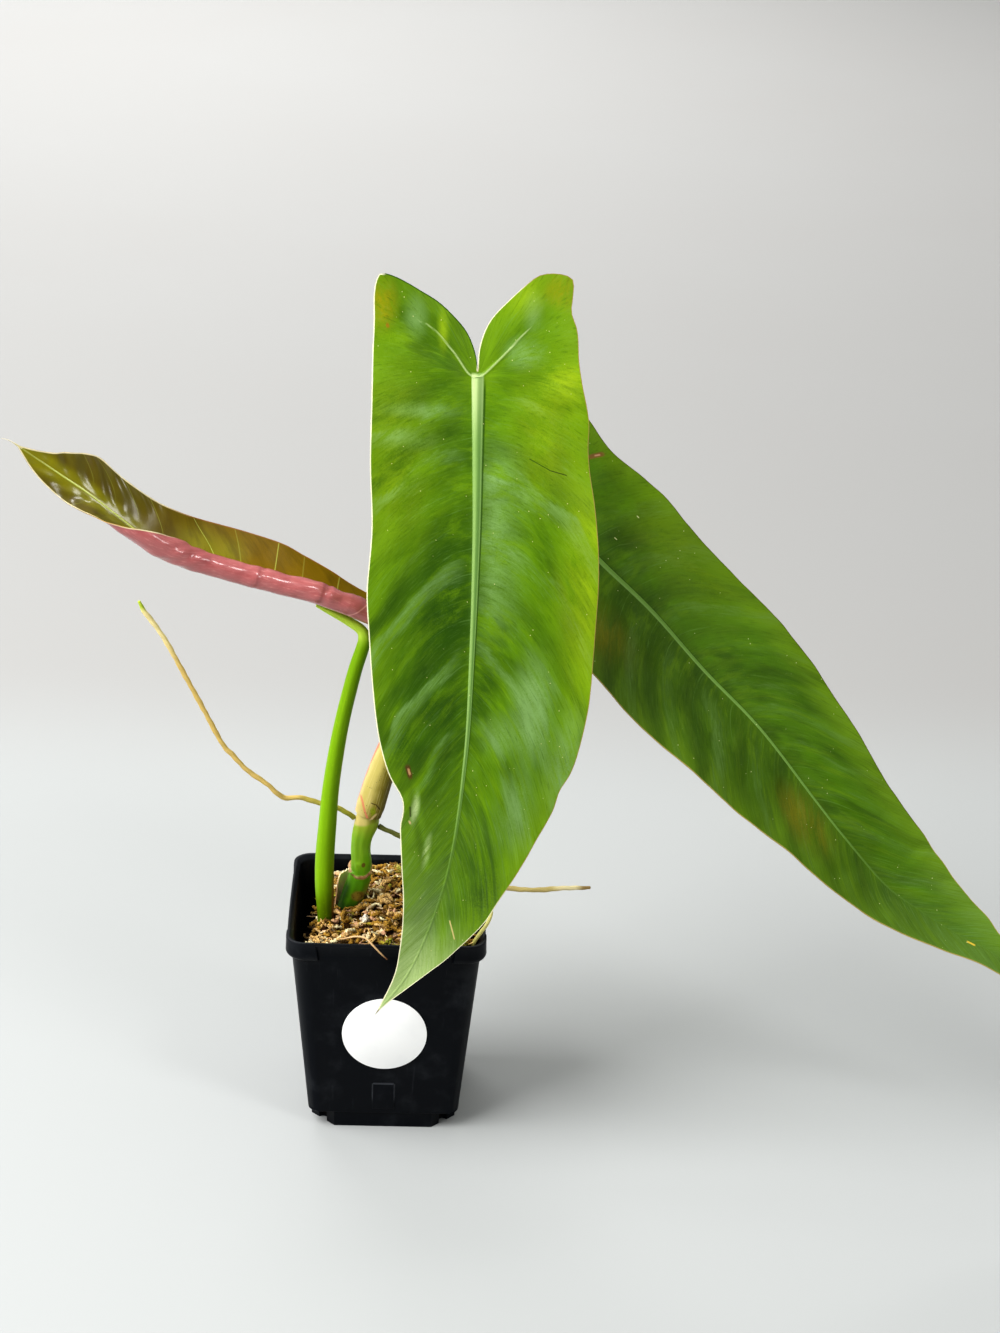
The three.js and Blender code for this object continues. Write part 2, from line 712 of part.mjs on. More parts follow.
/** Margin points of one half, first round its lobe and then one for each midrib station. */
function marginRows(outline, length) {
  const curve = new THREE.SplineCurve(outline.map((p) => new THREE.Vector2(...p)));
  const samples = curve.getSpacedPoints(600);
  samples.forEach((p) => { p.x = Math.max(p.x, 0); });
  const foot = (p) => p.y - BLADE.rowLean * p.x;
  const turn = samples.findLastIndex((p) => foot(p) <= 0) + 1;
  const rows = [];
  for (let k = 0; k < BLADE.lobeRows; k += 1) {
    rows.push({ from: 0, to: samples[Math.round((turn * k) / BLADE.lobeRows)] });
  }
  for (let k = 0; k < BLADE.stations; k += 1) {
    const from = (length * k) / BLADE.stations;
    rows.push({ from, to: samples.find((p, i) => i >= turn && foot(p) >= from) });
  }
  rows.push({ from: length, to: new THREE.Vector2(0, length) });
  return rows;
}

/** Flat positions (across, along) of one half's grid, with a narrow first strip for the rib. */
function halfGrid(outline, length, side) {
  return marginRows(outline, length).map(({ from, to }) => {
    const rib = Math.min(BLADE.ribHalf, to.x / 2);
    return Array.from({ length: BLADE.columns + 1 }, (_, i) => {
      const across = i === 0 ? 0 : lerp(rib, to.x, (i - 1) / (BLADE.columns - 1));
      const share = to.x > 0 ? across / to.x : i / BLADE.columns;
      return new THREE.Vector2(side * across, lerp(from, to.y, share));
    });
  });
}

/** Thick leaf blade with a rib under its midrib. */
function blade(leaf) {
  const spine = spineOf(leaf);
  const upper = [];
  const lower = [];
  const places = new Map();
  const vertexAt = ({ x: across, y: along }) => {
    const { origin, across: sideways, normal } = spine.at(along);
    const bent = leaf.profile(across, along);
    const point = origin.addScaledVector(sideways, bent.x).addScaledVector(normal, bent.height);
    const key = point.toArray().map((c) => Math.round(c * 1e3)).join();
    if (!places.has(key)) {
      const facing = normal.multiplyScalar(Math.cos(bent.tilt));
      facing.addScaledVector(sideways, -Math.sin(bent.tilt));
      const fade = 1 - THREE.MathUtils.clamp(along / spine.length, 0, 1);
      const rib = across === 0 && along >= 0 ? leaf.ribDepth * fade : 0;
      const half = BLADE.thickness / 2;
      upper.push(point.clone().addScaledVector(facing, half + BLADE.ribAbove * rib));
      places.set(key, lower.push(point.clone().addScaledVector(facing, -half - rib)) - 1);
    }
    return places.get(key);
  };
  const faces = [];
  for (const [outline, side] of [[leaf.minus, -1], [leaf.plus, 1]]) {
    const grid = halfGrid(outline, spine.length, side).map((row) => row.map(vertexAt));
    for (let k = 0; k + 1 < grid.length; k += 1) {
      for (let i = 0; i < BLADE.columns; i += 1) {
        const [a, b, c, d] = [grid[k][i], grid[k][i + 1], grid[k + 1][i + 1], grid[k + 1][i]];
        const pair = side > 0 ? [[a, c, b], [a, d, c]] : [[a, b, c], [a, c, d]];
        faces.push(...pair.filter(([p, q, r]) => p !== q && q !== r && r !== p));
      }
    }
  }
  return thicken(upper, lower, faces);
}

/**
 * Papery scale curved round a path, open on the side that it turns away from. Its span in degrees
 * widens or narrows upwards, its top slants down towards its last column, and `grow` thickens it
 * and lengthens its foot.
 */
function scale({ path, thickness, spanLow, spanHigh, facing, slant, steps, columns }, grow = 0) {
  const { curve, sizeAt } = smoothPath(path);
  const grids = { upper: [], lower: [] };
  const faces = [];
  const row = columns + 1;
  const half = thickness / 2 + grow;
  for (let k = 0; k <= steps; k += 1) {
    for (let i = 0; i < row; i += 1) {
      const share = i / columns;
      const u = (k / steps) * (1 - slant * share);
      const tangent = curve.getTangentAt(u);
      const { depth, width } = crossAxes(tangent);
      const radius = sizeAt(u).x;
      const wider = THREE.MathUtils.radToDeg((2 * grow) / radius);
      const span = lerp(spanLow, spanHigh, u ** 2) + wider;
      const angle = THREE.MathUtils.degToRad(facing + span * (share - 0.5));
      const out = depth.multiplyScalar(Math.sin(angle));
      out.addScaledVector(width, -Math.cos(angle));
      const point = curve.getPointAt(u).addScaledVector(out, radius);
      point.addScaledVector(tangent, k === 0 ? -grow : 0);
      grids.upper.push(point.clone().addScaledVector(out, half));
      grids.lower.push(point.clone().addScaledVector(out, -half));
      if (k > 0 && i > 0) {
        const [a, b, c, d] = [(k - 1) * row + i - 1, (k - 1) * row + i, k * row + i, k * row + i - 1];
        faces.push([a, b, c], [a, c, d]);
      }
    }
  }
  return thicken(grids.upper, grids.lower, faces);
}

const plant = new THREE.Group();
plant.add(
  pot(),
  label(),
  moss(),
  mesh('perlite_grain', grainBall(0), LOOKS.grain),
  mesh('stem', tube(STEM), LOOKS.stem),
  mesh('sheath', scale(SHEATH), LOOKS.sheath),
  mesh('sheath_old', scale(OLD_SCALE), LOOKS.oldScale),
  mesh('petiole_new', tube(NEW_PETIOLE), LOOKS.freshPetiole),
  mesh('petiole_front', tube(FRONT_PETIOLE), LOOKS.petiole),
  mesh('petiole_side', tube(SIDE_PETIOLE), LOOKS.petiole),
  mesh('leaf_new', blade(NEW_LEAF), LOOKS.newLeaf),
  mesh('leaf_front', blade(FRONT_LEAF), LOOKS.leaf),
  mesh('leaf_side', blade(SIDE_LEAF), LOOKS.darkLeaf),
  mesh('root_left', tube(LEFT_ROOT), LOOKS.root),
  mesh('root_right', tube(RIGHT_ROOT), LOOKS.root),
  mesh('rim_root_front', tube(RIM_ROOT_FRONT), LOOKS.rimRoot),
  mesh('rim_root_right', tube(RIM_ROOT_RIGHT), LOOKS.root),
);

export default plant;
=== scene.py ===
"""
A philodendron with three arrow-shaped leaves in a small square nursery pot of sphagnum moss.

Shapes are worked out in millimetres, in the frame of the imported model: the origin is the centre
of the pot's base, +Z is up and the pot's front face looks along -Y. Meshes are in metres.
"""
import math
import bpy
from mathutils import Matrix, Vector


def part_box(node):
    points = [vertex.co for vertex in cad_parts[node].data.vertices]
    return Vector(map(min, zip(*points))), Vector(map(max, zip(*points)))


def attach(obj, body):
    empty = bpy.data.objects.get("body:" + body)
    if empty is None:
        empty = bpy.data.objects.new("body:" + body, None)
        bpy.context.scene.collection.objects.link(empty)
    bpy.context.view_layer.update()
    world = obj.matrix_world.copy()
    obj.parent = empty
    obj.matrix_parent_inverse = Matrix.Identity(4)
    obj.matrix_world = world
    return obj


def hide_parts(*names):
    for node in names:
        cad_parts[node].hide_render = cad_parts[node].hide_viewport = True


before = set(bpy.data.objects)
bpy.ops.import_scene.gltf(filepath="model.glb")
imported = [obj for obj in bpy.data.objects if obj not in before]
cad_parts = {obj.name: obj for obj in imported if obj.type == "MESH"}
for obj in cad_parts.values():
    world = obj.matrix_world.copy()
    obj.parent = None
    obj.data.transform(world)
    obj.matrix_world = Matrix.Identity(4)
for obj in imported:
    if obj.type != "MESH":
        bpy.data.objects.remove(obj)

from types import SimpleNamespace

import bpy
import numpy as np
from mathutils import Matrix, Vector

bl_info = {
    "name": "Potted philodendron",
    "version": (1, 0, 0),
    "blender": (4, 5, 0),
    "location": "3D View > Sidebar > Plant",
    "description": "Leaves, stem, roots, moss and pot of a small climbing philodendron",
    "category": "Add Mesh",
}

MM = 0.001

# Waves that cross in a field of lumps, and how far a tube's ends bulge, as a share of its radius
WAVES = 7
TUBE_BULGE = 0.45

# Square pot: half widths of its outside and wall, a foot with cut corners, the lip at its rim,
# and lugs at the rim's corners, whose curved undersides list a rise and a share of their reach
POT = SimpleNamespace(
    height=100, rim_half=44.45, rim_width=1.6, wall_low=34.35, wall_high=42, wall_high_z=91,
    foot_height=8, foot_half=33.2, foot_taper=0.4, foot_cut=10.8, corner_low=7, corner_high=8.3,
    thickness=1.4, flat_to=74, bow=0.5, rim_inset=0.6, lip=1.6, lip_step=0.5, lug_reach=12,
    lug_edge=0.8, lug_rise=2.4, lug_bottom=90.4,
    lug_curve=[(0, 0), (0.35, 0.4), (0.7, 0.65), (1.6, 0.88), (2.8, 1)], rounding=0.35, steps=14,
)

# Radius, x and y of the drain holes, which are there at each quarter turn
DRAIN_HOLES = [(2.6, 27.5, 27.5), (3, 24, 0)]
TAB = SimpleNamespace(width=10, height=14, depth=1.2, rise=0.4, bottom=10.5)
LABEL = SimpleNamespace(thickness=0.4, centre_z=52, gap=0.3)

# Heights of the moss at the pot's corners and of the mound round the stem. Hollows list a depth,
# and where they start and are deepest towards the left and towards the back
MOSS = SimpleNamespace(
    front_left=95.5, front_right=96.5, back_left=87, back_right=105, mound=4, mound_radius=18,
    hollows=[(15, (28, 37), (-40, -24)), (6, (22, 32), (2, 20))],
    lump=1.1, rings=30, shoulder_z=55, rim_z=86, inset=1.8, floor=1.7,
)
GRAIN = SimpleNamespace(radius=2.1, x=-10, y=-17, lift=0.6)

# Strands of moss: how they wave, hump, bead and twist. Round spots (x, y, radius) stay clear of them
STRAND = SimpleNamespace(
    rings=11, sides=5, wave=0.5, wave_turn=9, hump=0.7, tip=0.35, beads=0.4, bead_turn=29,
    twist=2.5, clear_rim=4.4, soft_rim=2,
)
MOSS_CLEAR = [(-16, 0, 6.6), (-28, -11, 5.6), (GRAIN.x, GRAIN.y, 2.6), (-20, 4, 7)]

# Paths list a centre (x, y, z), a radius, and where it is flattened a second radius along Y
STEM = [
    (-21, -1, 86, 4.4), (-18.5, -0.3, 94, 4.8), (-16.8, 0, 99.3, 5), (-15.1, 0, 104.2, 5.1),
    (-13.5, 0, 109, 5.2), (-12.5, 0, 115.8, 4.7), (-12.9, 0, 125.4, 4.4), (-12.4, 0, 131, 4.6),
    (-10.4, 0.8, 138, 5.4, 6.2), (-9.7, 2.4, 143, 4.7, 6.7), (-9.5, 2.6, 146.6, 4.6, 6.7),
]
NEW_PETIOLE = [
    (-27.2, -10.4, 84, 3.4), (-27.8, -10.7, 95, 3.7), (-28.5, -11.3, 110, 4.2),
    (-28.5, -11.5, 124.7, 4.25), (-27.9, -12, 137.5, 4.1), (-26.1, -13, 161.2, 3.7),
    (-23.8, -14, 180.7, 3.45), (-20.5, -15, 199.6, 3.2), (-16.5, -15.5, 218.4, 3.05),
    (-13.2, -15.2, 229.5, 2.9), (-12.4, -14.7, 234, 2.7), (-14, -14.3, 238.1, 2.3),
    (-20.6, -14.7, 242.6, 1.9), (-27.4, -15.7, 246.6, 1.4), (-33, -16.6, 249.8, 0.8),
]
FRONT_PETIOLE = [
    (-8.8, -1.2, 147.7, 3.1), (-5.6, -0.6, 158, 3.3), (0.8, 0.6, 177, 3.3), (8.5, 1.4, 205, 3.2),
    (17, 1.6, 245, 3), (25, 0.8, 290, 2.9), (31, -1.2, 330, 2.8), (32.6, -3.6, 344, 2.7),
    (33.2, -8.2, 350.4, 2.5),
]
SIDE_PETIOLE = [
    (-9, 6.4, 147.2, 2.9), (-6.6, 7.6, 158, 3.2), (-0.5, 10, 176, 3.2), (13, 14.5, 205, 3.1),
    (34, 21.5, 241, 3), (53, 29, 267, 2.8), (63.2, 32.6, 279.4, 2.4),
]
LEFT_ROOT = [
    (-15.9, 0.4, 140.3, 1.3), (-19.2, 0.4, 142.7, 1.1), (-23.7, 0.4, 145.1, 1.1),
    (-31.3, 0, 147.4, 1.1), (-40.3, -0.5, 150.2, 1.1), (-46, -1, 150, 1.15),
    (-50, -2, 152.3, 1.1), (-55, -2, 157.2, 1.1), (-63.8, -2, 163.8, 1.1), (-70, -2, 170.8, 1.1),
    (-74.9, -2, 176.7, 1.1), (-83.6, -2, 194.2, 1.1), (-92.3, -2, 211.5, 1.1),
    (-98.7, -2, 224.2, 1.1), (-103.8, -2, 232.5, 1.1), (-108.5, -2, 239, 1.1),
    (-110.6, -2, 243.6, 0.7),
]
RIGHT_ROOT = [
    (-4.8, 0, 136.5, 1.3), (-1, 0, 134.6, 1.1), (3.9, 0, 132.3, 1.1), (18, 0, 125, 1.1),
    (34, 0, 116, 1.1), (46, 0, 109, 1.1), (54.8, 0, 106.8, 1.1), (67, 0, 106.2, 1.1),
    (79, 0, 107.4, 1.1), (91.6, 0, 108, 0.7),
]
RIM_ROOT_FRONT = [
    (-26, -33, 92, 0.42), (-22, -37, 98.4, 0.42), (-18.6, -40, 100.6, 0.42),
    (-13.7, -42.2, 103, 0.42), (-9.3, -44.4, 103.6, 0.42), (-5.7, -46.4, 101, 0.42),
    (-2.5, -46.8, 97.6, 0.385), (0.6, -46.4, 94.2, 0.28),
]
RIM_ROOT_RIGHT = [
    (36, -36, 90, 0.9), (39, -37, 98.8, 0.9), (42, -34, 102.4, 0.9), (44.7, -28, 103.4, 0.9),
    (46.5, -20, 104.4, 0.8), (46, -11, 106, 0.5),
]

# The stem's lower node slants down towards the back, and a pale flap crosses its upper one
NODE = SimpleNamespace(z=116, slant=0.64, ring=0.6, flap=0.8, eye=(119, 0.35))
NODE_FLAP = ((-8.9, 141.8), (-5.8, 145.2))

# Papery scales curved round a path: their span in degrees at foot and top, the direction that
# their middle faces, and the shares of their height by which their top slants down towards the
# last column and is cut back towards the first
SHEATH = SimpleNamespace(
    path=[
        (-9.7, 0.4, 143, 6.3), (-7.8, 0.3, 150, 6.05), (-5.7, 0.2, 158, 5.95),
        (-2.6, 0.3, 168, 5.8), (1.4, 0.6, 180, 5.4), (6.4, 1, 196, 4.6),
    ],
    thickness=0.7,
    spans=(185, 70),
    facing=252,
    slant=0,
    cut=0,
)
OLD_SCALE = SimpleNamespace(
    path=[
        (-19.4, 0.2, 89, 6), (-18.2, 0.4, 95, 6.2), (-17, 0.6, 101, 6.6), (-15.8, 0.8, 107, 7.2),
        (-14.6, 0.8, 113.5, 7.4),
    ],
    thickness=0.6,
    spans=(70, 120),
    facing=142,
    slant=0.28,
    cut=0.14,
)

# Spines run from behind the lobes through the junction (the second knot) to the tip. The
# across vectors point to the side where the outline named plus lies, at junction and tip.
# Outlines list points (across, along) from the notch between the lobes to the tip, and lobe
# veins start at the junction. Waves list a height, a length and a phase.
LOBE_VEIN = [(0, 0), (4, -1.5), (10, -10), (19, -20), (27, -24)]
FRONT_LEAF = {
    "spine": [
        (32, 3, 395), (33, -12, 352.5), (33.7, -23, 320), (34.2, -32, 287), (33.8, -42, 241),
        (32.2, -49, 193), (26, -53, 140.5), (12, -54, 96), (-4.2, -54, 70.6),
    ],
    "across": [(1, 0.1, 0), (1, 0, 0)],
    "minus": [
        (0, -2.5), (1, -10), (4.5, -18.5), (10, -25), (16.5, -31), (24, -35.5), (31, -39.5),
        (37, -42), (41.5, -42), (43.5, -35), (43.5, -23), (44, -10), (44.5, 10), (45, 35), (44, 64),
        (45.5, 90), (44, 110), (40.5, 141), (37, 159), (32, 172.5), (25.5, 183), (24, 190),
        (24.3, 197), (23, 205), (20, 219), (15.5, 234), (12, 246), (8.5, 259), (5, 272), (0, 293),
    ],
    "plus": [
        (0, -2.5), (0.5, -11), (2.7, -18.7), (6.3, -25), (12, -31), (18.5, -37), (25, -42),
        (31, -43.3), (37.5, -42.5), (40.3, -40), (40, -33), (39.5, -27), (42, -19), (42.5, -7),
        (44, 3), (47, 18), (47, 30), (48, 41), (50, 54), (52, 75), (52.5, 92), (52, 118), (51, 136),
        (49, 150), (46, 165), (42, 174), (40, 184), (35, 196), (30, 209), (25, 222), (22, 233),
        (17, 245), (11, 258), (5.5, 269), (2, 281), (0, 293),
    ],
    "lobe_veins": {
        "minus": LOBE_VEIN,
        "plus": [(0, 0), (3.3, -1.7), (12.5, -10.8), (19.6, -18.3), (25.8, -23)],
    },
    "creases": {
        "minus": [(8, 0.6), (27, 0.7), (42, 0.3), (58, 0.4), (76, 1), (96, 0.35), (111, 0.9),
                  (128, 0.4), (144, 0.7), (160, 0.3), (179, 0.2), (198, 0.1)],
        "plus": [(2.5, 0.45), (17, 0.35), (35, 0.7), (62, 0.4), (92.5, 0.8), (101.5, 0.4),
                 (110, 0.7), (125, 0.3), (140, 0.5), (160, 0.3), (181, 0.2)],
    },
    "rib_depth": 2.2,
    "steep": 0.013,
    "rib_half": (2.75, 0.6),
    "waves": (1.6, 74, 0.6),
}
SIDE_LEAF = {
    "spine": [
        (32, 42, 312), (65, 30, 281.6), (90, 20, 259), (113, 10.7, 240), (137, 1.4, 216),
        (162.6, -7.6, 192.5), (188.6, -16.6, 162), (202, -21, 146.6), (221, -25, 126),
        (235, -28, 116.4), (251, -31, 107), (274, -35.4, 96), (298.5, -40, 77),
    ],
    "across": [(0.68, 0.63, 0.43), (0.7, 0.45, 0.55)],
    "minus": [
        (0, -2.5), (1, -11), (5, -19), (11, -27), (19, -35), (27, -41), (34, -43.5), (39, -41),
        (41, -33), (42, -20), (42.5, 0), (43, 30), (42.5, 55), (41.5, 80), (39.7, 110), (37.5, 134),
        (34, 155), (30, 171), (25.4, 187), (21.2, 209), (17, 227), (13.5, 247), (10.6, 261),
        (7.8, 280), (6, 297), (0, 321),
    ],
    "plus": [
        (0, -2.5), (1, -11), (5, -19), (11, -27), (19, -35), (27, -41), (34, -44), (40, -42),
        (43, -34), (44.5, -24), (44, -12.7), (42.5, -2.4), (42.7, 7), (45, 20.5), (44.6, 37),
        (42, 51.7), (41.4, 64.5), (42, 78), (42.4, 91), (42, 112), (41, 122), (39.7, 136),
        (37.2, 149), (35.6, 165), (32.8, 186), (30.7, 208), (27.6, 234), (20, 256.5), (14, 275),
        (8.6, 285), (4, 301), (0, 321),
    ],
    "lobe_veins": {
        "minus": LOBE_VEIN,
        "plus": LOBE_VEIN,
    },
    "creases": {
        "minus": [(14, 0.4), (36, 0.5), (58, 0.7), (82, 0.6), (105, 0.7), (132, 0.5), (161, 0.5),
                  (186, 0.5), (215, 0.4), (240, 0.3)],
        "plus": [(15, 0.4), (40, 0.6), (68, 0.8), (90, 0.5), (109, 0.8), (123, 0.7), (144, 0.5),
                 (163, 0.5), (186, 0.6), (215, 0.4), (240, 0.3)],
    },
    "rib_depth": 2.2,
    "steep": 0.01,
    "rib_half": (1.5, 0.4),
    "waves": (1.8, 62, 2.2),
}
NEW_LEAF = {
    "spine": [
        (5, -10, 233), (-11.8, -14, 242), (-33.3, -17, 252), (-53, -19.5, 258.5),
        (-74, -22.5, 266), (-90.5, -25, 273), (-103, -27.5, 281.5), (-114.3, -29.5, 291.5),
        (-127, -32, 303), (-138.6, -34.5, 312.3), (-156.6, -38, 326.5),
    ],
    "across": [(-0.2, -0.95, -0.12), (-0.5, -0.3, -0.85)],
    "minus": [
        (0, -2.5), (2, -8), (6, -13), (11, -15), (15, -12), (16, -4), (17, 12), (20.5, 31),
        (22.4, 42), (21.7, 60), (19.7, 80), (17.6, 95), (15.2, 110), (14.3, 120), (14.2, 130),
        (15, 139), (13, 145), (9, 152), (5.5, 157), (2.4, 164), (0, 171),
    ],
    "plus": [
        (0, -2.5), (2, -8), (7, -13), (13, -15), (18, -12), (21, -5), (23, 10), (25, 35),
        (25.5, 60), (24.5, 84), (21.5, 100), (18, 110), (13, 119), (9, 128), (8.7, 140), (7.3, 151),
        (4.9, 160), (0, 171),
    ],
    "lobe_veins": {"minus": [(0, 0), (8, -9)], "plus": [(0, 0), (8, -9)]},
    "creases": {
        "minus": [(22, 0.5), (48, 0.4), (71, 0.7), (97, 0.6), (112, 0.6), (126, 0.9), (138, 0.9),
                  (150, 0.6)],
        "plus": [(118, 0.6), (132, 0.7), (146, 0.5)],
    },
    "rib_depth": 0.5,
    "rib_half": (1.1, 0.3),
    "roll": {
        "radius": 4.9, "tighten": 0.04, "loosen": (1.7, 70, 105), "unroll": (0.93, 120, 144),
        "arch": 45, "arch_tighten": 0.001, "flatten": (1.5, 86, 146),
    },
}

# Laterals of the young leaf: where each starts on the midrib, its curve and its strength. The
# rings on its roll: a distance along it and a depth
YOUNG_VEINS = [
    (15, 0.002, 0.6), (31, 0.002, 0.25), (43.5, 0.002, 0.7), (58.2, 0.017, 0.3), (68.9, 0.053, 1),
    (94.4, 0.08, 0.45), (108, 0.09, 0.35), (121, 0.09, 0.2), (133, 0.08, 0.2),
]
ROLL_RINGS = [(52.5, 0.6), (24, 0.8), (11, 0.3)]
LEAF_HAIR = [(-154, -37.5, 324.6, 0.5), (-157.2, -38.2, 327, 0.35), (-159.4, -39, 328.6, 0.28),
             (-161.9, -40, 329.6, 0.15)]

# Grown blades fold up from a narrow keel and bow back. Their waves have their stated height at
# this distance from the midrib
KEEL = 3
FOLD = 0.12
BOW = 0.0022
WAVE_HALF = 48

# The grid's rows lean towards the tip by these shares of the way across and of its square
LATERAL = (0.25, 0.018)
LEAF_GRID = SimpleNamespace(columns=44, lobe_rows=56, stations=110, spread=1.25, bent_above=-30)
VEIN_LEAN = SimpleNamespace(straight=0.05, curved=0.006, growing=0.00018, fan=40, steeper_past=90)

# Creases fall gently towards a lateral and rise steeply past it, and waver by a field of lumps
CREASE = SimpleNamespace(
    before=11, past=4, crest=(-0.5, 2.5), fade=(4, 17), near=6, near_share=0.9, waver=2,
    waver_size=34, varied_size=24,
)

# A blade's midrib narrows by a power of what is left of it, and its lobe veins with distance
BLADE = SimpleNamespace(
    rib_narrows=2.6, rib_rise=0.24, rib_start=1.5, rib_under=1.6, lobe_half=1.1,
    lobe_narrows=0.03, lobe_least=0.3, lobe_rise=0.3, flat_by_rib=(1, 8),
    flat_by_junction=(4, 24), flat_margin=(0.2, 20), lumps=0.3, lump_size=15,
    thin_edge=(0.55, 2.5),
)


def srgb(red, green, blue):
    """Scene colour of a screen colour, whose channels run from 0 to 255."""
    channels = np.array([red, green, blue]) / 255
    linear = np.where(channels > 0.04045, ((channels + 0.055) / 1.055) ** 2.4, channels / 12.92)
    return tuple(float(c) for c in linear)


# The first colour is painted shade for moss lying low in the pot; the second is a leaf's dry brown tip.
MOSS_PAINTED_SHADE = srgb(18, 13, 8)
DRY_TIP = srgb(104, 78, 34)


def lerp(low, high, share):
    return low + (high - low) * share


def smooth_rise(value, low, high):
    """0 below low and 1 above high, with a smooth rise between them."""
    share = np.clip((value - low) / (high - low), 0, 1)
    return share * share * (3 - 2 * share)


def unit(vectors):
    return vectors / np.linalg.norm(vectors, axis=-1, keepdims=True)


def dot(first, second):
    return (first * second).sum(axis=-1, keepdims=True)


def together(*parts):
    """Joins fields of numbers into one field of points."""
    return np.stack(parts, axis=-1)


def lumps(points, size, seed):
    """Smooth random heights, about -1 to 1, from crossing waves of about the given size."""
    draw = np.random.default_rng(seed)
    directions = unit(draw.normal(size=(WAVES, points.shape[-1])))
    lengths = size * draw.uniform(0.7, 1.5, WAVES)
    phases = draw.uniform(0, 2 * np.pi, WAVES)
    return np.sin(points @ directions.T * 2 * np.pi / lengths + phases).sum(axis=-1) / WAVES**0.5


class Path:
    """Smooth curve through knots, read by its length. Columns past the third are carried along."""

    def __init__(self, knots, steps=60, repeat_ends=False):
        knots = np.array(knots, float)
        first = knots[0] if repeat_ends else 2 * knots[0] - knots[1]
        last = knots[-1] if repeat_ends else 2 * knots[-1] - knots[-2]
        padded = [first, *knots, last]
        t = np.linspace(0, 1, steps, endpoint=False)[:, None]
        spans = []
        for a, b, c, d in zip(padded, padded[1:], padded[2:], padded[3:]):
            bend = 2 * a - 5 * b + 4 * c - d
            twist = 3 * b - a - 3 * c + d
            spans.append(0.5 * (2 * b + (c - a) * t + bend * t**2 + twist * t**3))
        self.points = np.vstack([*spans, knots[-1:]])
        places = self.points[:, :3]
        self.tangents = unit(np.gradient(places, axis=0))
        lengths = np.linalg.norm(np.diff(places, axis=0), axis=1)
        self.reach = np.concatenate([[0], np.cumsum(lengths)])
        self.length = self.reach[-1]
        self.knot_reach = self.reach[::steps]

    def read(self, table, distance):
        columns = [np.interp(distance, self.reach, column) for column in table.T]
        return np.stack(columns, axis=-1)

    def at(self, distance):
        return self.read(self.points, distance)

    def tangent(self, distance):
        return unit(self.read(self.tangents, distance))


def cross_axes(tangent):
    """Two directions across a tangent: the first lies as near to +Y as it can."""
    depth = np.zeros_like(tangent)
    depth[..., 1] = 1
    depth = unit(depth - tangent * dot(depth, tangent))
    return depth, np.cross(tangent, depth)


def select(piece):
    """Selects one piece and nothing else."""
    bpy.ops.object.select_all(action="DESELECT")
    piece.select_set(True)
    bpy.context.view_layer.objects.active = piece


def add(name, primitive, **settings):
    """Adds one of Blender's basic meshes."""
    bpy.ops.object.select_all(action="DESELECT")
    primitive(**settings)
    piece = bpy.context.object
    piece.name = name
    return piece


def points_of(mesh):
    """A mesh's points, in metres."""
    place = np.empty(3 * len(mesh.vertices), np.float32)
    mesh.vertices.foreach_get("co", place)
    return place.reshape(-1, 3)


def move_points(mesh, points):
    """Sets a mesh's points from places in millimetres."""
    mesh.vertices.foreach_set("co", (points * MM).astype(np.float32).ravel())


def sheet(name, points, attributes=None, weights=None):
    """
    Surface through rows of points in millimetres. Attributes and weights, which set the share of
    a Solidify's thickness, hold a value for each point.
    """
    rows, columns = points.shape[:2]
    piece = add(name, bpy.ops.mesh.primitive_grid_add, x_subdivisions=columns - 1,
                y_subdivisions=rows - 1, size=2)
    mesh = piece.data
    mesh.name = name
    share = (points_of(mesh)[:, :2] + 1) / 2
    column, row = np.rint(share * [columns - 1, rows - 1]).astype(int).T
    move_points(mesh, points[row, column])
    for key, values in (attributes or {}).items():
        vector = values.ndim == 3
        attribute = mesh.attributes.new(key, "FLOAT_VECTOR" if vector else "FLOAT", "POINT")
        flat = values[row, column].astype(np.float32).ravel()
        attribute.data.foreach_set("vector" if vector else "value", flat)
    if weights is not None:
        group = piece.vertex_groups.new(name="thickness")
        for index, weight in enumerate(weights[row, column]):
            group.add([index], float(weight), "REPLACE")
    bpy.ops.object.mode_set(mode="EDIT")
    bpy.ops.mesh.select_all(action="SELECT")
    bpy.ops.mesh.remove_doubles(threshold=0.001 * MM)
    bpy.ops.mesh.delete_loose()
    bpy.ops.object.mode_set(mode="OBJECT")
    return piece


def apply(piece, kind, **settings):
    """Adds a modifier with settings to a piece and applies it."""
    select(piece)
    modifier = piece.modifiers.new(kind.title(), kind)
    for key, value in settings.items():
        setattr(modifier, key, value)
    bpy.ops.object.modifier_apply(modifier=modifier.name)


def thicken(piece, thickness, offset=-1.0):
    """Gives a sheet a thickness in millimetres, with its underside and edge as materials 1 and 2."""
    for _ in range(3):
        piece.data.materials.append(None)
    apply(piece, "SOLIDIFY", thickness=thickness * MM, offset=offset, vertex_group="thickness",
          use_quality_normals=True, material_offset=1, material_offset_rim=2)


def finish(piece, node, materials, angle=40):
    """Shades a finished piece and says what it rides on, stands for and is made of."""
    select(piece)
    bpy.ops.object.shade_smooth_by_angle(angle=math.radians(angle))
    slots = piece.data.materials
    while len(slots) < len(materials):
        slots.append(None)
    for index in range(len(slots)):
        slots[index] = materials[min(index, len(materials) - 1)]
    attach(piece, "root")
    if node:
        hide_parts(node)


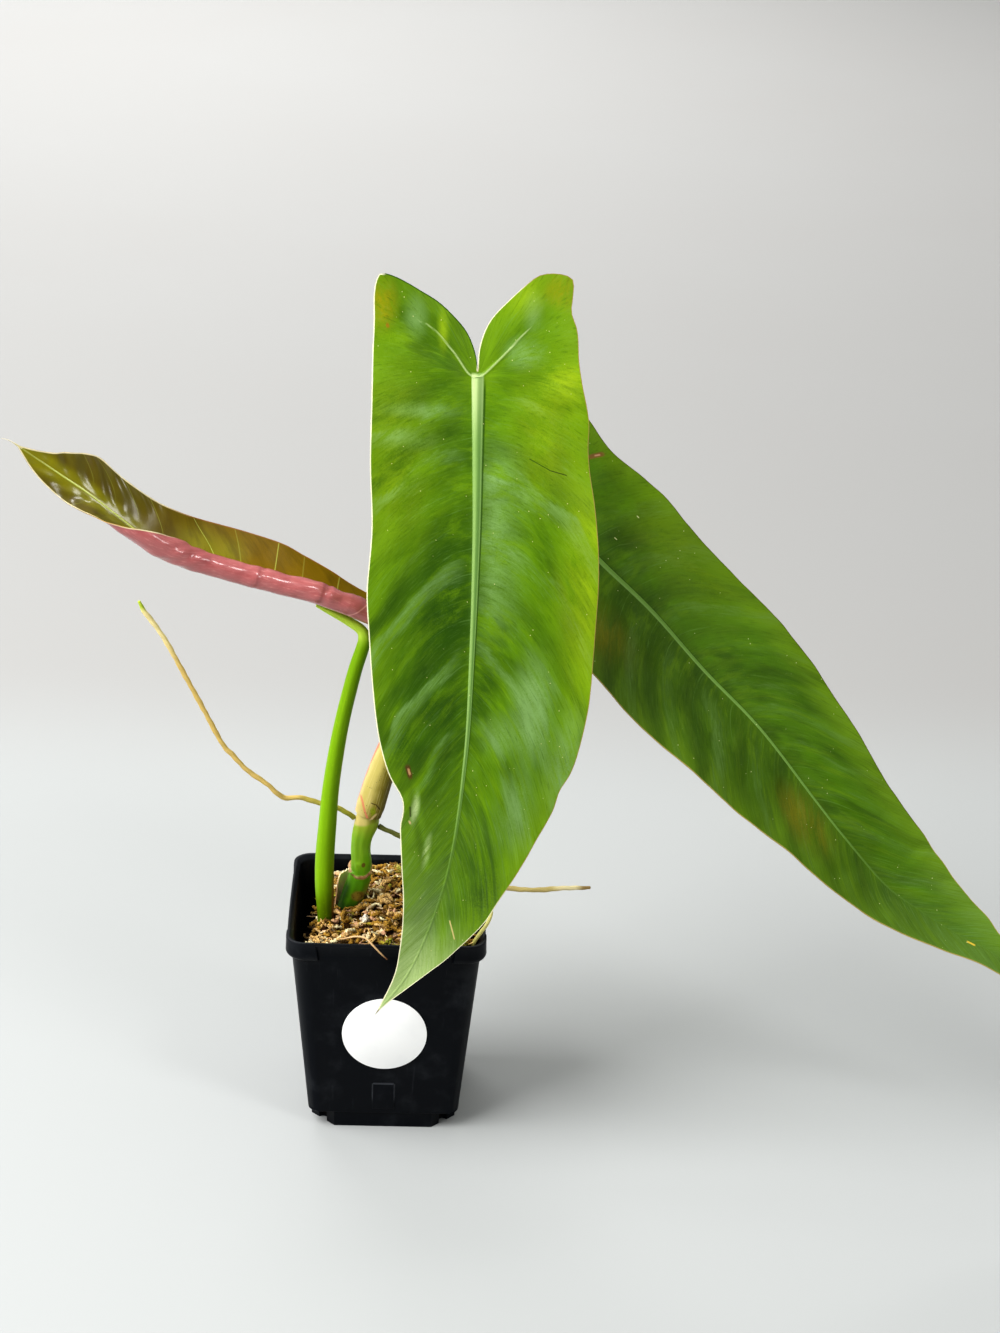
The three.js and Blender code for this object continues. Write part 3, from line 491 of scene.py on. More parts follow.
def tube(name, path, rings, sides, relief=None):
    """Closed tube along a path, with relief(angle, distance, centres) added to its radius."""
    knots = [(*knot, knot[3]) if len(knot) == 4 else knot for knot in path]
    curve = Path(knots)
    share = np.clip((np.arange(rings + 3) - 1) / rings, 0, 1)
    distance = share * curve.length
    read = curve.at(distance)
    tangent = curve.tangent(distance)
    depth, width = cross_axes(tangent)
    angle = np.linspace(0, 2 * np.pi, sides + 1)[None, :]
    angle = np.repeat(angle, rings + 3, axis=0)
    radius = read[:, None, 3:5] + np.zeros((1, sides + 1, 1))
    if relief:
        radius = radius + relief(angle, distance[:, None], read[:, None, :3])[..., None]
    radius[[0, -1]] = 0
    around = depth[:, None] * (radius[..., 1] * np.cos(angle))[..., None]
    around += width[:, None] * (radius[..., 0] * np.sin(angle))[..., None]
    points = read[:, None, :3] + around
    points[0] -= tangent[0] * TUBE_BULGE * read[0, 3]
    points[-1] += tangent[-1] * TUBE_BULGE * read[-1, 3]
    points[:, -1] = points[:, 0]
    along = np.repeat(distance[:, None], sides + 1, axis=1)
    round_share = angle / (2 * np.pi)
    total = np.full_like(along, curve.length)
    return sheet(name, points, {"run": together(along, round_share, total)})


def add_tubes(relief, tubes):
    """Adds tubes from their names, nodes, slots, paths, rings, sides and materials. The slots are not
    used.
    """
    for name, node, slot, path, rings, sides, skin in tubes:
        finish(tube(name, path, rings, sides, relief), node, [skin])


def outline_distance(points, line):
    """Distance from each flat point to a line of points."""
    starts = line[:-1]
    spans = np.diff(line, axis=0)
    lengths = np.maximum((spans**2).sum(axis=1), 1e-9)
    best = np.full(points.shape[:-1], np.inf)
    for start, span, length in zip(starts, spans, lengths):
        share = np.clip(((points - start) @ span) / length, 0, 1)
        gap = points - start - share[..., None] * span
        best = np.minimum(best, np.hypot(gap[..., 0], gap[..., 1]))
    return best


def lateral_lean(across):
    return LATERAL[0] * across + LATERAL[1] * across**2


def half_rows(outline, length):
    """
    Flat positions of one half's grid, from the midrib out: rows fan round the lobe first and then
    follow the lateral veins. Also each row's station along the midrib, below 0 in the fan.
    """
    margin = Path(outline, steps=40, repeat_ends=True)
    points = margin.points.copy()
    points[:, 0] = np.maximum(points[:, 0], 0)
    foot = points[:, 1] - lateral_lean(points[:, 0])
    turn = np.nonzero(foot <= 0)[0][-1]
    lobe_reach = np.linspace(0, margin.reach[turn], LEAF_GRID.lobe_rows, endpoint=False)
    lobe = margin.at(lobe_reach)
    lobe[:, 0] = np.maximum(lobe[:, 0], 0)
    stations = np.linspace(0, length, LEAF_GRID.stations + 1)
    feet = np.maximum.accumulate(np.maximum(foot[turn:], 0)) + 1e-6 * np.arange(len(foot) - turn)
    sides = together(*[np.interp(stations, feet, points[turn:, i]) for i in (0, 1)])
    sides[-1] = (0, length)
    ends = np.vstack([lobe, sides])
    starts = np.concatenate([np.zeros(len(lobe)), stations])
    value = np.concatenate([lobe_reach - margin.reach[turn], stations])
    share = (np.linspace(0, 1, LEAF_GRID.columns + 1) ** LEAF_GRID.spread)[None, :]
    across = ends[:, :1] * share
    widest = np.maximum(lateral_lean(ends[:, :1]), 1e-9)
    curved = np.where(ends[:, :1] > 0.01, lateral_lean(across) / widest, share)
    in_lobe = value[:, None] < 0
    curve_share = np.where(in_lobe, smooth_rise(ends[:, 1:], LEAF_GRID.bent_above, 0), 1)
    along = starts[:, None] + (ends[:, 1:] - starts[:, None]) * lerp(share, curved, curve_share)
    return across, along, np.repeat(value[:, None], share.shape[1], axis=1), share, points


def folded(leaf, across, along):
    """Blade halves folded up from the midrib, bowed back to waved margins."""
    wave, wave_length, phase = leaf["waves"]
    out = np.abs(across)
    ripple = np.sin(2 * np.pi * along / wave_length + phase + np.sign(across))
    height = FOLD * (np.hypot(out, KEEL) - KEEL) - BOW * out**2
    return across, height + wave * (out / WAVE_HALF) ** 2 * ripple, np.zeros_like(across)


def curl(reach, radius, tighten):
    """Arc or tightening spiral of length `reach`, bent up from the midrib."""
    tilt = -np.log(1 - tighten * reach / radius) / tighten
    decay = np.exp(-tighten * tilt)
    size = radius / (1 + tighten**2)
    x = size * (decay * (np.sin(tilt) - tighten * np.cos(tilt)) + tighten)
    height = size * (1 - decay * (np.cos(tilt) + tighten * np.sin(tilt)))
    return x, height, tilt


def rolled(leaf, across, along):
    """Young blade: the plus half is rolled up like a scroll, except near the tip, the other arched."""
    roll = leaf["roll"]

    def stage(name):
        by, low, high = roll[name]
        return by * smooth_rise(along, low, high)

    near = curl(np.maximum(across, 0), (roll["radius"] + stage("loosen")) / (1 - stage("unroll")),
                roll["tighten"])
    far = curl(np.maximum(-across, 0), roll["arch"] * (1 + stage("flatten")), roll["arch_tighten"])
    side = np.where(across > 0, 1, -1)
    x, height, tilt = [np.where(across > 0, a, b) for a, b in zip(near, far)]
    return side * x, height, side * tilt


def spine_length(leaf):
    spine = Path(leaf["spine"])
    return spine.length - spine.knot_reach[1]


def blade_points(leaf, across, along, lift):
    """Points of a blade at flat positions, raised by lift from the middle of its thickness."""
    spine = Path(leaf["spine"])
    start = spine.knot_reach[1]
    distance = np.clip(along + start, 0, spine.length)
    tangent = spine.tangent(distance)
    origin = spine.at(distance) + tangent * (along + start - distance)[..., None]
    share = np.clip(along / (spine.length - start), 0, 1)[..., None]
    sideways = lerp(np.array(leaf["across"][0]), np.array(leaf["across"][1]), share)
    sideways = unit(sideways - tangent * dot(sideways, tangent))
    normal = np.cross(tangent, sideways)
    bend = rolled if "roll" in leaf else folded
    x, height, tilt = [part[..., None] for part in bend(leaf, across, along)]
    facing = normal * np.cos(tilt) - sideways * np.sin(tilt)
    return origin + sideways * x + normal * height + facing * lift[..., None]


def vein_station(across, along, steep=0.0):
    """
    Where the lateral vein through a flat place starts on the midrib. Laterals lean more towards
    the tip, with a further lean low down that grows by steep, and in the lobes the value falls
    below 0 with the turn round the junction.
    """
    out = np.abs(across)
    level = VEIN_LEAN.straight * out + VEIN_LEAN.curved * out**2
    station = (along - level) / (1 + VEIN_LEAN.growing * out**2)
    low = (along - level + VEIN_LEAN.steeper_past * steep * out) / (
        1 + VEIN_LEAN.growing * out**2 + steep * out)
    station = np.where(station > VEIN_LEAN.steeper_past, low, station)
    turn = np.arctan2(np.maximum(level - along, 0), np.maximum(out, 0.01))
    return np.where(station > 0, station, -VEIN_LEAN.fan * turn)


def creased(station, lines):
    """
    Depth of the creases along some laterals, from 0 to about -1, and how far a place lies on
    the slope past a crease, or before one where it is negative.
    """
    dip = np.zeros_like(station)
    slope = np.zeros_like(station)
    for line, depth in lines:
        past = station - line
        reach = np.where(past < 0, CREASE.before, CREASE.past)
        dip -= depth * np.exp(-((past / reach) ** 2))
        after = smooth_rise(past, *CREASE.crest) * (1 - smooth_rise(past, *CREASE.fade))
        near = np.exp(-(((past + CREASE.near) / CREASE.near) ** 2))
        slope += depth * (after - CREASE.near_share * near)
    return dip, slope


def leaf_blade(name, leaf, thickness, quilting, extra=None):
    """Blade with a raised midrib, lobe veins and creases along its lateral veins."""
    length = spine_length(leaf)
    halves = {}
    for side, sign in (("plus", 1), ("minus", -1)):
        across, along, value, share, margin = half_rows(leaf[side], length)
        flat = together(across, along)
        edge = outline_distance(flat, margin[::4])
        lobe = outline_distance(flat, Path(leaf["lobe_veins"][side], steps=6).points)
        station = vein_station(across, along, leaf.get("steep", 0))
        wavering = station + CREASE.waver * lumps(flat, CREASE.waver_size, 6)
        dip, slope = creased(wavering, leaf["creases"][side])
        halves[side] = [sign * across, along, value, edge, lobe, dip, slope, station]
    joined = []
    for plus, minus in zip(halves["plus"], halves["minus"]):
        joined.append(np.concatenate([plus[:, :0:-1], minus], axis=1))
    across, along, value, edge, lobe, dip, slope, station = joined
    out = np.abs(across)
    fade = 1 - np.clip(along / length, 0, 1)
    rib_half = lerp(leaf["rib_half"][1], leaf["rib_half"][0], fade**BLADE.rib_narrows)
    blunt = smooth_rise(along, -BLADE.rib_start, BLADE.rib_start)
    ridge = blunt * np.clip(1 - (out / rib_half) ** 2, 0, 1)
    away = np.hypot(across, along)
    lobe_half = np.maximum(BLADE.lobe_half - BLADE.lobe_narrows * away, BLADE.lobe_least)
    lobe_ridge = np.clip(1 - (lobe / lobe_half) ** 2, 0, 1) * (value < 0)
    away_rib = smooth_rise(out, *BLADE.flat_by_rib)
    flat = together(across, along)
    away_junction = smooth_rise(away, *BLADE.flat_by_junction)
    varied = dip * (0.75 + 0.25 * lumps(flat, CREASE.varied_size, 9))
    least, reach = BLADE.flat_margin
    away_margin = lerp(least, 1, smooth_rise(edge, 0, reach))
    relief = quilting * varied * away_rib * away_margin * away_junction
    relief += BLADE.lumps * quilting * lumps(flat, BLADE.lump_size, 5) * away_rib
    relief += BLADE.rib_rise * rib_half * ridge + BLADE.lobe_rise * lobe_ridge
    if extra:
        relief += extra(across, along)
    points = blade_points(leaf, across, along, thickness / 2 + relief)
    under = np.clip(1 - out / (BLADE.rib_under * rib_half), 0, 1)
    rib = leaf["rib_depth"] * fade * (along >= 0) * under
    least, reach = BLADE.thin_edge
    thin_edge = lerp(least, 1, smooth_rise(edge, 0, reach))
    deepest = thickness + leaf["rib_depth"]
    weights = (thickness * thin_edge + rib) / deepest
    attributes = {
        "flat": together(across, along, edge),
        "vein": together(station, lobe, slope * away_junction),
        "rib": together(across / rib_half, fade, dip),
    }
    piece = sheet(name, points, attributes, weights)
    thicken(piece, deepest)
    return piece


def papery_scale(name, scale, steps, columns, ragged=0):
    """Scale curved round a path, with a ragged top."""
    curve = Path(scale.path)
    share = np.linspace(0, 1, columns + 1)[None, :]
    rise = np.linspace(0, 1, steps + 1)[:, None] * (1 - scale.slant * share)
    rise = rise * (1 - scale.cut * (1 - smooth_rise(share, 0, 0.35)))
    rise = rise - ragged * np.abs(lumps(share[..., None] * 10 + 0 * rise[..., None], 1.7, 3)) * rise**4
    distance = rise * curve.length
    read = curve.at(distance)
    depth, width = cross_axes(curve.tangent(distance))
    low, high = scale.spans
    angle = np.radians(scale.facing + lerp(low, high, rise**2) * (share - 0.5))[..., None]
    out = depth * np.sin(angle) - width * np.cos(angle)
    foot = 1 - smooth_rise(rise, 0, 0.1)
    points = read[..., :3] + out * (read[..., 3:4] - 0.3 * foot[..., None])
    wide = np.repeat(share, steps + 1, axis=0)
    run = together(distance, wide, rise)
    piece = sheet(name, points, {"run": run}, 1 - 0.75 * foot)
    thicken(piece, scale.thickness, offset=0)
    return piece


def wall_half(z):
    """Half width of the pot's flat outer wall at a height."""
    rise = (z - POT.foot_height) / (POT.wall_high_z - POT.foot_height)
    return lerp(POT.wall_low, POT.wall_high, rise)


def foot_row(z, inset=0):
    """Outline of the foot: its height, half width, corner radius, cut, arc share, lugs and bow."""
    half = POT.foot_half - POT.foot_taper * (1 - z / POT.foot_height)
    return [z, half - inset, 0, POT.foot_cut - inset * (2 - math.sqrt(2)), 0, 0, 0]


def wall_row(z, inset=0, half=None, proud=0, bow=0):
    """Outline of the wall, its lip or its rim, in the same order."""
    rise = min((z - POT.foot_height) / (POT.flat_to - POT.foot_height), 1)
    radius = lerp(POT.corner_low, POT.corner_high, rise)
    return [z, (wall_half(z) if half is None else half) - inset, radius - inset, 0, 1, proud, bow]


def pot_points(rows):
    """Level outlines of the pot, counterclockwise, from rows of their sizes."""
    z, half, radius, cut, arc, proud, bow = [column[:, None] for column in np.array(rows, float).T]
    lug_end = half - POT.lug_reach
    inner = lug_end - POT.lug_edge
    edge = np.linspace(0, 1, 5)[None, :]
    middle = np.linspace(-1, 1, POT.steps + 1)[None, 1:-1]
    across = np.concatenate([lerp(-lug_end, -inner, edge), middle * inner,
                             lerp(inner, lug_end, edge)], axis=1)
    on_lug = smooth_rise(np.abs(across), inner, lug_end)
    side_x = half + proud * on_lug + bow * (1 - (across / half) ** 2) * (1 - on_lug)
    t = np.linspace(0, 1, POT.steps + 1)[None, :]
    turn = t * np.pi / 2
    outer = half + proud
    corner_x = lerp(outer - cut * t, outer - radius + radius * np.cos(turn), arc)
    corner_y = lerp(outer - cut * (1 - t), outer - radius + radius * np.sin(turn), arc)
    x = np.concatenate([side_x, corner_x], axis=1)
    y = np.concatenate([across, corner_y], axis=1)
    quarters = [(x, y), (-y, x), (-x, -y), (y, -x), (x[:, :1], y[:, :1])]
    x, y = [np.concatenate([quarter[i] for quarter in quarters], axis=1) for i in (0, 1)]
    return together(x, y, z + 0 * x)


def rounded(rows, by):
    """Rows of sizes with each corner between them rounded off by a length."""
    rows = np.array(rows, float)
    result = [rows[0]]
    for before, corner, after in zip(rows, rows[1:], rows[2:]):
        reach = []
        for other in (before, after):
            gap = np.linalg.norm((other - corner)[:2])
            reach.append(lerp(corner, other, min(by / max(gap, 1e-6), 0.45)))
        for t in np.linspace(0, 1, 4):
            result.append(lerp(lerp(reach[0], corner, t), lerp(corner, reach[1], t), t))
    return np.vstack([*result, rows[-1]])


def pot_shell():
    """Shell up its outside, over the rim and down its inside, with its floor closed."""
    height = POT.height
    foot = POT.foot_height
    thick = POT.thickness
    rim = POT.rim_half - POT.rim_inset
    bow = POT.bow
    rows = [foot_row(0), foot_row(foot), wall_row(foot), wall_row(POT.flat_to)]
    for up, share in POT.lug_curve:
        rows.append(wall_row(POT.lug_bottom + up, proud=POT.lug_rise * share, bow=bow))
    lip_half = rim - POT.lip_step
    rows += [
        wall_row(height - POT.lip - 0.2, half=lip_half, proud=POT.rim_half - lip_half, bow=bow),
        wall_row(height - POT.lip, half=rim, proud=POT.rim_inset, bow=bow),
        wall_row(height, half=rim, proud=POT.rim_inset, bow=bow),
        wall_row(height, half=POT.rim_half, inset=POT.rim_width, bow=bow),
        wall_row(height - POT.rim_width, inset=thick, bow=bow),
        wall_row(foot + thick, inset=thick),
        foot_row(foot + thick, inset=thick),
        foot_row(thick, inset=thick),
    ]
    points = pot_points(rounded(rows, POT.rounding))
    centre = np.zeros_like(points[:1])
    inner_centre = centre + [0, 0, thick]
    return sheet("nursery_pot", np.concatenate([centre, points, inner_centre]))


def drill(piece, radius, x, y):
    """Cuts an upright round hole through a piece's floor."""
    reach = 2 * (POT.foot_height + 3 * POT.thickness)
    tool = add("drill", bpy.ops.mesh.primitive_cylinder_add, vertices=32, radius=radius * MM,
               depth=reach * MM, location=(x * MM, y * MM, 0))
    apply(piece, "BOOLEAN", operation="DIFFERENCE", object=tool, solver="EXACT")
    bpy.data.objects.remove(tool)


def onto_front_wall(z, out):
    """Place on the pot's front wall at a height: +Z of the moved thing points outwards."""
    slope = math.atan2(POT.wall_high - POT.wall_low, POT.wall_high_z - POT.foot_height)
    turn = Matrix.Rotation(math.pi / 2 + slope, 4, "X")
    lift = Matrix.Translation((0, 0, out * MM))
    return Matrix.Translation((0, -wall_half(z) * MM, z * MM)) @ turn @ lift


def settle(piece, place):
    """Moves a piece's mesh by a matrix, with the object at the origin."""
    bpy.context.view_layer.update()
    piece.data.transform(place @ piece.matrix_world)
    piece.matrix_world = Matrix.Identity(4)


def moss_level(x, y):
    """Height of the moss without its lumps."""
    right = (x / wall_half(POT.height) + 1) / 2
    back = (y / wall_half(POT.height) + 1) / 2
    front = lerp(MOSS.front_left, MOSS.front_right, right)
    rear = lerp(MOSS.back_left, MOSS.back_right, right)
    mound = MOSS.mound * np.exp(-(x * x + y * y) / (2 * MOSS.mound_radius ** 2))
    hollow = 0
    for depth, leftwards, backwards in MOSS.hollows:
        hollow += depth * smooth_rise(-x, *leftwards) * smooth_rise(y, *backwards)
    return lerp(front, rear, back) + mound - hollow


def moss_top(x, y):
    """Height of the moss with its lumps."""
    crossed = np.sin(0.52 * x + 1.3) * np.cos(0.47 * y - 0.4)
    return moss_level(x, y) + MOSS.lump * (crossed + 0.7 * np.sin(0.9 * x - 0.7 * y))


def moss_bed():
    """Dark bed of moss that fills the pot, clear of its inside."""
    inset = MOSS.inset
    floor = MOSS.floor
    foot = POT.foot_height
    rim = wall_row(MOSS.rim_z, inset=inset, bow=POT.bow / 2)
    rows = [
        foot_row(floor, inset=inset),
        foot_row(foot + floor, inset=inset),
        wall_row(foot + floor, inset=inset),
        wall_row(MOSS.shoulder_z, inset=inset),
    ]
    walls = pot_points(rows)
    walls[0, :, 2] = floor
    shrink = (1 - np.linspace(0, 1, MOSS.rings + 1) ** 0.8)[:, None, None]
    top = pot_points([rim])[0][None] * shrink
    height = moss_top(top[..., 0], top[..., 1])
    rough = lumps(top[..., :2], 3.2, 11) + 0.6 * lumps(top[..., :2], 1.7, 12)
    edge_drop = smooth_rise(shrink[..., 0], 0.93, 1)
    top[..., 2] = height + 0.5 * rough * (1 - edge_drop) - MOSS.lump * edge_drop - 1
    narrow = (wall_half(top[..., 2:]) - inset) / (wall_half(MOSS.rim_z) - inset)
    top[..., :2] *= np.minimum(narrow, 1)
    bottom = np.zeros_like(walls[:1]) + [0, 0, floor]
    return sheet("moss_bed", np.concatenate([bottom, walls, top]))


def inside_wall(x, y, z, half):
    """Lines of points, each moved as a whole so that it stays inside the pot's wall and corners."""
    room = wall_half(np.minimum(z, POT.height)) - MOSS.inset - half
    right, back = [np.sign(part.mean(axis=1, keepdims=True)) for part in (x, y)]
    x = x - right * np.clip(x * right - room, 0, None).max(axis=1, keepdims=True)
    y = y - back * np.clip(y * back - room, 0, None).max(axis=1, keepdims=True)
    corner = x * right + y * back - 2 * room + 0.59 * POT.corner_high
    past = np.clip(corner, 0, None).max(axis=1, keepdims=True) / 2
    return x - right * past, y - back * past


def strands(name, starts, headings, sizes, draw):
    """
    Curly closed strands in one mesh. Each has a start, a heading, and a size: its length, half
    width, curl in turns, lean of the curl from level, and tone.
    """
    count = len(starts)
    length, half, curl_turns, lean, tone = [column[:, None] for column in np.array(sizes).T]
    rings = STRAND.rings
    sides = STRAND.sides
    run = np.linspace(0, 1, rings)[None, :]
    heading = headings[:, None]
    turn = heading + curl_turns * 2 * np.pi * (run - 0.5)
    turn = turn + STRAND.wave * np.sin(run * STRAND.wave_turn + draw.uniform(0, 6, (count, 1)))
    step = length / (rings - 1)
    ahead = np.cos(heading), np.sin(heading)
    aside = np.cos(heading + np.pi / 2), np.sin(heading + np.pi / 2)
    steps = [np.cumsum(part, axis=1) * step for part in (np.cos(turn), np.sin(turn))]
    level_x, level_y = [part - part[:, rings // 2:rings // 2 + 1] for part in steps]
    sideways = level_y * ahead[0] - level_x * ahead[1]
    forward = level_x * ahead[0] + level_y * ahead[1]
    x, y = [starts[:, i:i + 1] + forward * ahead[i] + sideways * np.cos(lean) * aside[i]
            for i in (0, 1)]
    hump = STRAND.hump * half * np.sin(np.pi * run)
    z = starts[:, 2:3] + sideways * np.sin(lean) + hump
    x, y = inside_wall(x, y, z, 1.2 * half)
    centres = together(x, y, z)
    tangent = unit(np.gradient(centres, axis=1))
    up = np.array([0, 0, 1.0])
    level = unit(np.cross(tangent, up) + 1e-6)
    over = np.cross(level, tangent)
    taper = np.sqrt(np.clip(1 - (2 * run - 1) ** 2, 0, 1))
    beads = np.sin(run * STRAND.bead_turn + draw.uniform(0, 6, (count, 1)))
    radius = half * lerp(STRAND.tip, 1, taper) * (1 + STRAND.beads * beads)
    radius = radius[..., None]
    radius[:, [0, -1]] = 0
    twist = draw.uniform(0, 3, (count, 1)) + run * STRAND.twist
    angle = np.linspace(0, 2 * np.pi, sides + 1)[None, None, :]
    flat = 0.4 + 0.6 * np.abs(np.cos(angle))
    ring = level[:, :, None] * (radius * np.cos(angle + twist[..., None]) * flat)[..., None]
    ring = ring - over[:, :, None] * (radius * np.sin(angle + twist[..., None]) * flat)[..., None]
    points = centres[:, :, None] + ring
    points[..., -1, :] = points[..., 0, :]
    tones = np.broadcast_to(tone[..., None], points.shape[:3])
    along = np.broadcast_to(run[..., None], points.shape[:3])
    depth = points[..., 2] - moss_top(points[..., 0], points[..., 1])
    values = together(tones, along, depth)
    grid = points.reshape(count * rings, sides + 1, 3)
    return sheet(name, grid, {"strand": values.reshape(count * rings, sides + 1, 3)})


def moss_tops(settings):
    """Loose curly strands over the bed of moss."""
    draw = np.random.default_rng(settings.seed)
    reach = POT.rim_half - STRAND.clear_rim
    x, y = draw.uniform(-reach, reach, (2, settings.strands))
    clear = np.ones(len(x), bool)
    for spot_x, spot_y, radius in MOSS_CLEAR:
        clear &= np.hypot(x - spot_x, y - spot_y) > radius
    x, y = x[clear], y[clear]
    count = len(x)
    outermost = np.maximum(np.abs(x), np.abs(y))
    wall = 1 - smooth_rise(outermost, reach - STRAND.soft_rim, reach)
    length = draw.uniform(0.55, 1.35, count) * settings.strand_length / MM
    half = np.where(draw.random(count) < 0.5, draw.uniform(0.8, 1.5, count),
                    draw.uniform(0.3, 0.6, count))
    curls = draw.normal(0, 0.6, count)
    lean = draw.normal(0, 0.5, count)
    rise = draw.uniform(-1.2, 1.9, count) * wall + 2.4 * draw.uniform(0, 1, count) ** 6
    clump = 0.9 * lumps(together(x, y), 8, 31) * wall
    z = moss_top(x, y) + rise + clump - 0.6
    starts = together(x, y, z)
    sizes = together(length, half, curls, lean, draw.uniform(0, 0.9, count))
    return strands("moss_strands", starts, draw.uniform(0, 2 * np.pi, count), sizes, draw)


def math_operator(operation, turned=False):
    """Method of a number that adds a Math node, with the two values turned round if asked."""

    def operator(number, other):
        values = (other, number) if turned else (number, other)
        return number.shader.math(operation, *values)

    return operator


class Number:
    """Value from a node, on which Python's operators add Math nodes."""

    def __init__(self, shader, socket):
        self.shader = shader
        self.socket = socket

    __add__ = math_operator("ADD")
    __radd__ = math_operator("ADD", turned=True)
    __sub__ = math_operator("SUBTRACT")
    __rsub__ = math_operator("SUBTRACT", turned=True)
    __mul__ = math_operator("MULTIPLY")
    __truediv__ = math_operator("DIVIDE")

    def __abs__(self):
        return self.shader.math("ABSOLUTE", self)


class Shader:
    """Material or world whose nodes all come from one method."""

    def __init__(self, owner):
        self.owner = owner
        owner.use_nodes = True
        self.tree = owner.node_tree
        self.tree.nodes.clear()
        self.base = None

    def socket(self, sockets, key):
        if isinstance(key, int):
            return sockets[key]
        for socket in sockets:
            if key in (socket.identifier, socket.name):
                return socket
        raise KeyError(f"{self.owner.name} has a node with no socket {key}")

    def node(self, kind, sockets=None, settings=None, output=0):
        """Adds a node with values or links for its sockets."""
        node = self.tree.nodes.new(kind)
        for key, value in (settings or {}).items():
            setattr(node, key, value)
        for key, value in (sockets or {}).items():
            socket = self.socket(node.inputs, key)
            if isinstance(value, Number):
                self.tree.links.new(value.socket, socket)
            else:
                socket.default_value = value
        if node.outputs:
            return Number(self, self.socket(node.outputs, output))

    def math(self, operation, *values):
        return self.node("ShaderNodeMath", dict(enumerate(values)), {"operation": operation})

    def rise(self, value, low, high):
        """0 below low and 1 above high, with a smooth rise between them."""
        sockets = {"Value": value, "From Min": low, "From Max": high}
        return self.node("ShaderNodeMapRange", sockets, {"interpolation_type": "SMOOTHSTEP"})

    def fall(self, value, low, high):
        """1 below low and 0 above high, with a smooth fall between them."""
        return 1 - self.rise(value, low, high)

    def spot(self, x, y, centre, reach):
        """1 at a place and 0 past its reach along x and y."""
        away_x = (x - centre[0]) / reach[0]
        away_y = (y - centre[1]) / reach[1]
        return self.fall(self.math("SQRT", away_x * away_x + away_y * away_y), 0, 1)

    def streak(self, x, y, start, end, half):
        """1 on a line between two places and 0 past its half width."""
        span = np.subtract(end, start)
        length = float(np.hypot(*span))
        right, up = (span / length).tolist()
        along = (x - start[0]) * right + (y - start[1]) * up
        away = abs((x - start[0]) * up - (y - start[1]) * right)
        inside = self.rise(along, -half, half) * self.fall(along, length - half, length + half)
        return inside * self.fall(away, 0.3 * half, half)

    def blend(self, first, second, share):
        """Colour between two colours."""
        settings = {"data_type": "RGBA", "clamp_factor": True}
        sockets = {"Factor_Float": share}
        for key, colour in (("A_Color", first), ("B_Color", second)):
            sockets[key] = colour if isinstance(colour, Number) else (*colour, 1)
        return self.node("ShaderNodeMix", sockets, settings, "Result_Color")

    def coat(self, colour, share):
        """Lays a share of a colour over the base colour."""
        self.base = self.blend(self.base, colour, share)

    def parts(self, vector):
        """The three numbers of a vector."""
        first = self.node("ShaderNodeSeparateXYZ", {0: vector})
        return [Number(self, socket) for socket in first.socket.node.outputs]

    def attribute(self, name):
        return self.parts(self.node("ShaderNodeAttribute", None, {"attribute_name": name}, "Vector"))

    def vector(self, x, y, z=0.0):
        return self.node("ShaderNodeCombineXYZ", {0: x, 1: y, 2: z})

    def place(self):
        """Place on the object, in metres."""
        return self.node("ShaderNodeTexCoord", output="Object")

    def millimetres(self):
        """Place on the object, as three numbers in millimetres."""
        return [part * (1 / MM) for part in self.parts(self.place())]

    def noise(self, scale, detail=2.0, roughness=0.5, distortion=0.0, at=None):
        """Noise at the place on the object, or at the place that is given."""
        sockets = {
            "Vector": self.vector(*at) if at else self.place(), "Scale": scale,
            "Detail": detail, "Roughness": roughness, "Distortion": distortion,
        }
        return self.node("ShaderNodeTexNoise", sockets)

    def cells(self, scale, at=None):
        """Distance to the nearest of many scattered points."""
        place = self.vector(*at) if at else self.place()
        return self.node("ShaderNodeTexVoronoi", {"Vector": place, "Scale": scale})

    def close(self, roughness, height, millimetres, shine=0.5, **more):
        """
        Ends the material in a Principled shader, bumped by a height of 0 to 1 that stands for a
        number of millimetres. More holds its other sockets, by title.
        """
        sockets = {"Height": height, "Distance": millimetres * MM, "Strength": 1.0}
        bump = self.node("ShaderNodeBump", sockets)
        sockets = {"Base Color": self.base, "Roughness": roughness, "Normal": bump,
                   "Specular IOR Level": shine}
        for key, value in more.items():
            sockets[key.replace("_", " ")] = value
        surface = self.node("ShaderNodeBsdfPrincipled", sockets)
        self.node("ShaderNodeOutputMaterial", {"Surface": surface})
        return self.owner


def material(name):
    """Starts a new material."""
    return Shader(bpy.data.materials.new(name))


def lateral_pattern(shader, station, out, spacing, half):
    """Fine pale lines that follow the lateral veins, a number of millimetres apart."""
    waver = shader.noise(1.0, 1.0, at=(station * 0.05, out * 0.03))
    phase = shader.math("FRACT", station / spacing + waver * 1.6 + 40)
    return shader.fall(abs(phase - 0.5) * spacing, 0.25 * half, half)


def margin_colour(shader, across, along, left, right, dull):
    """A margin colour for each half: dull along the left lobe's top, light by the notch and the tip."""
    out = abs(across)
    lobe_top = shader.fall(along, -6, -1) * shader.fall(out, 38, 41)
    notch = shader.fall(along, -6, -1) * shader.fall(out, 14, 26)
    notch = notch + shader.rise(along, 212, 236)
    return shader.blend(shader.blend(left, dull, lobe_top), shader.blend(right, left, notch),
                        shader.rise(across, -0.5, 0.5))


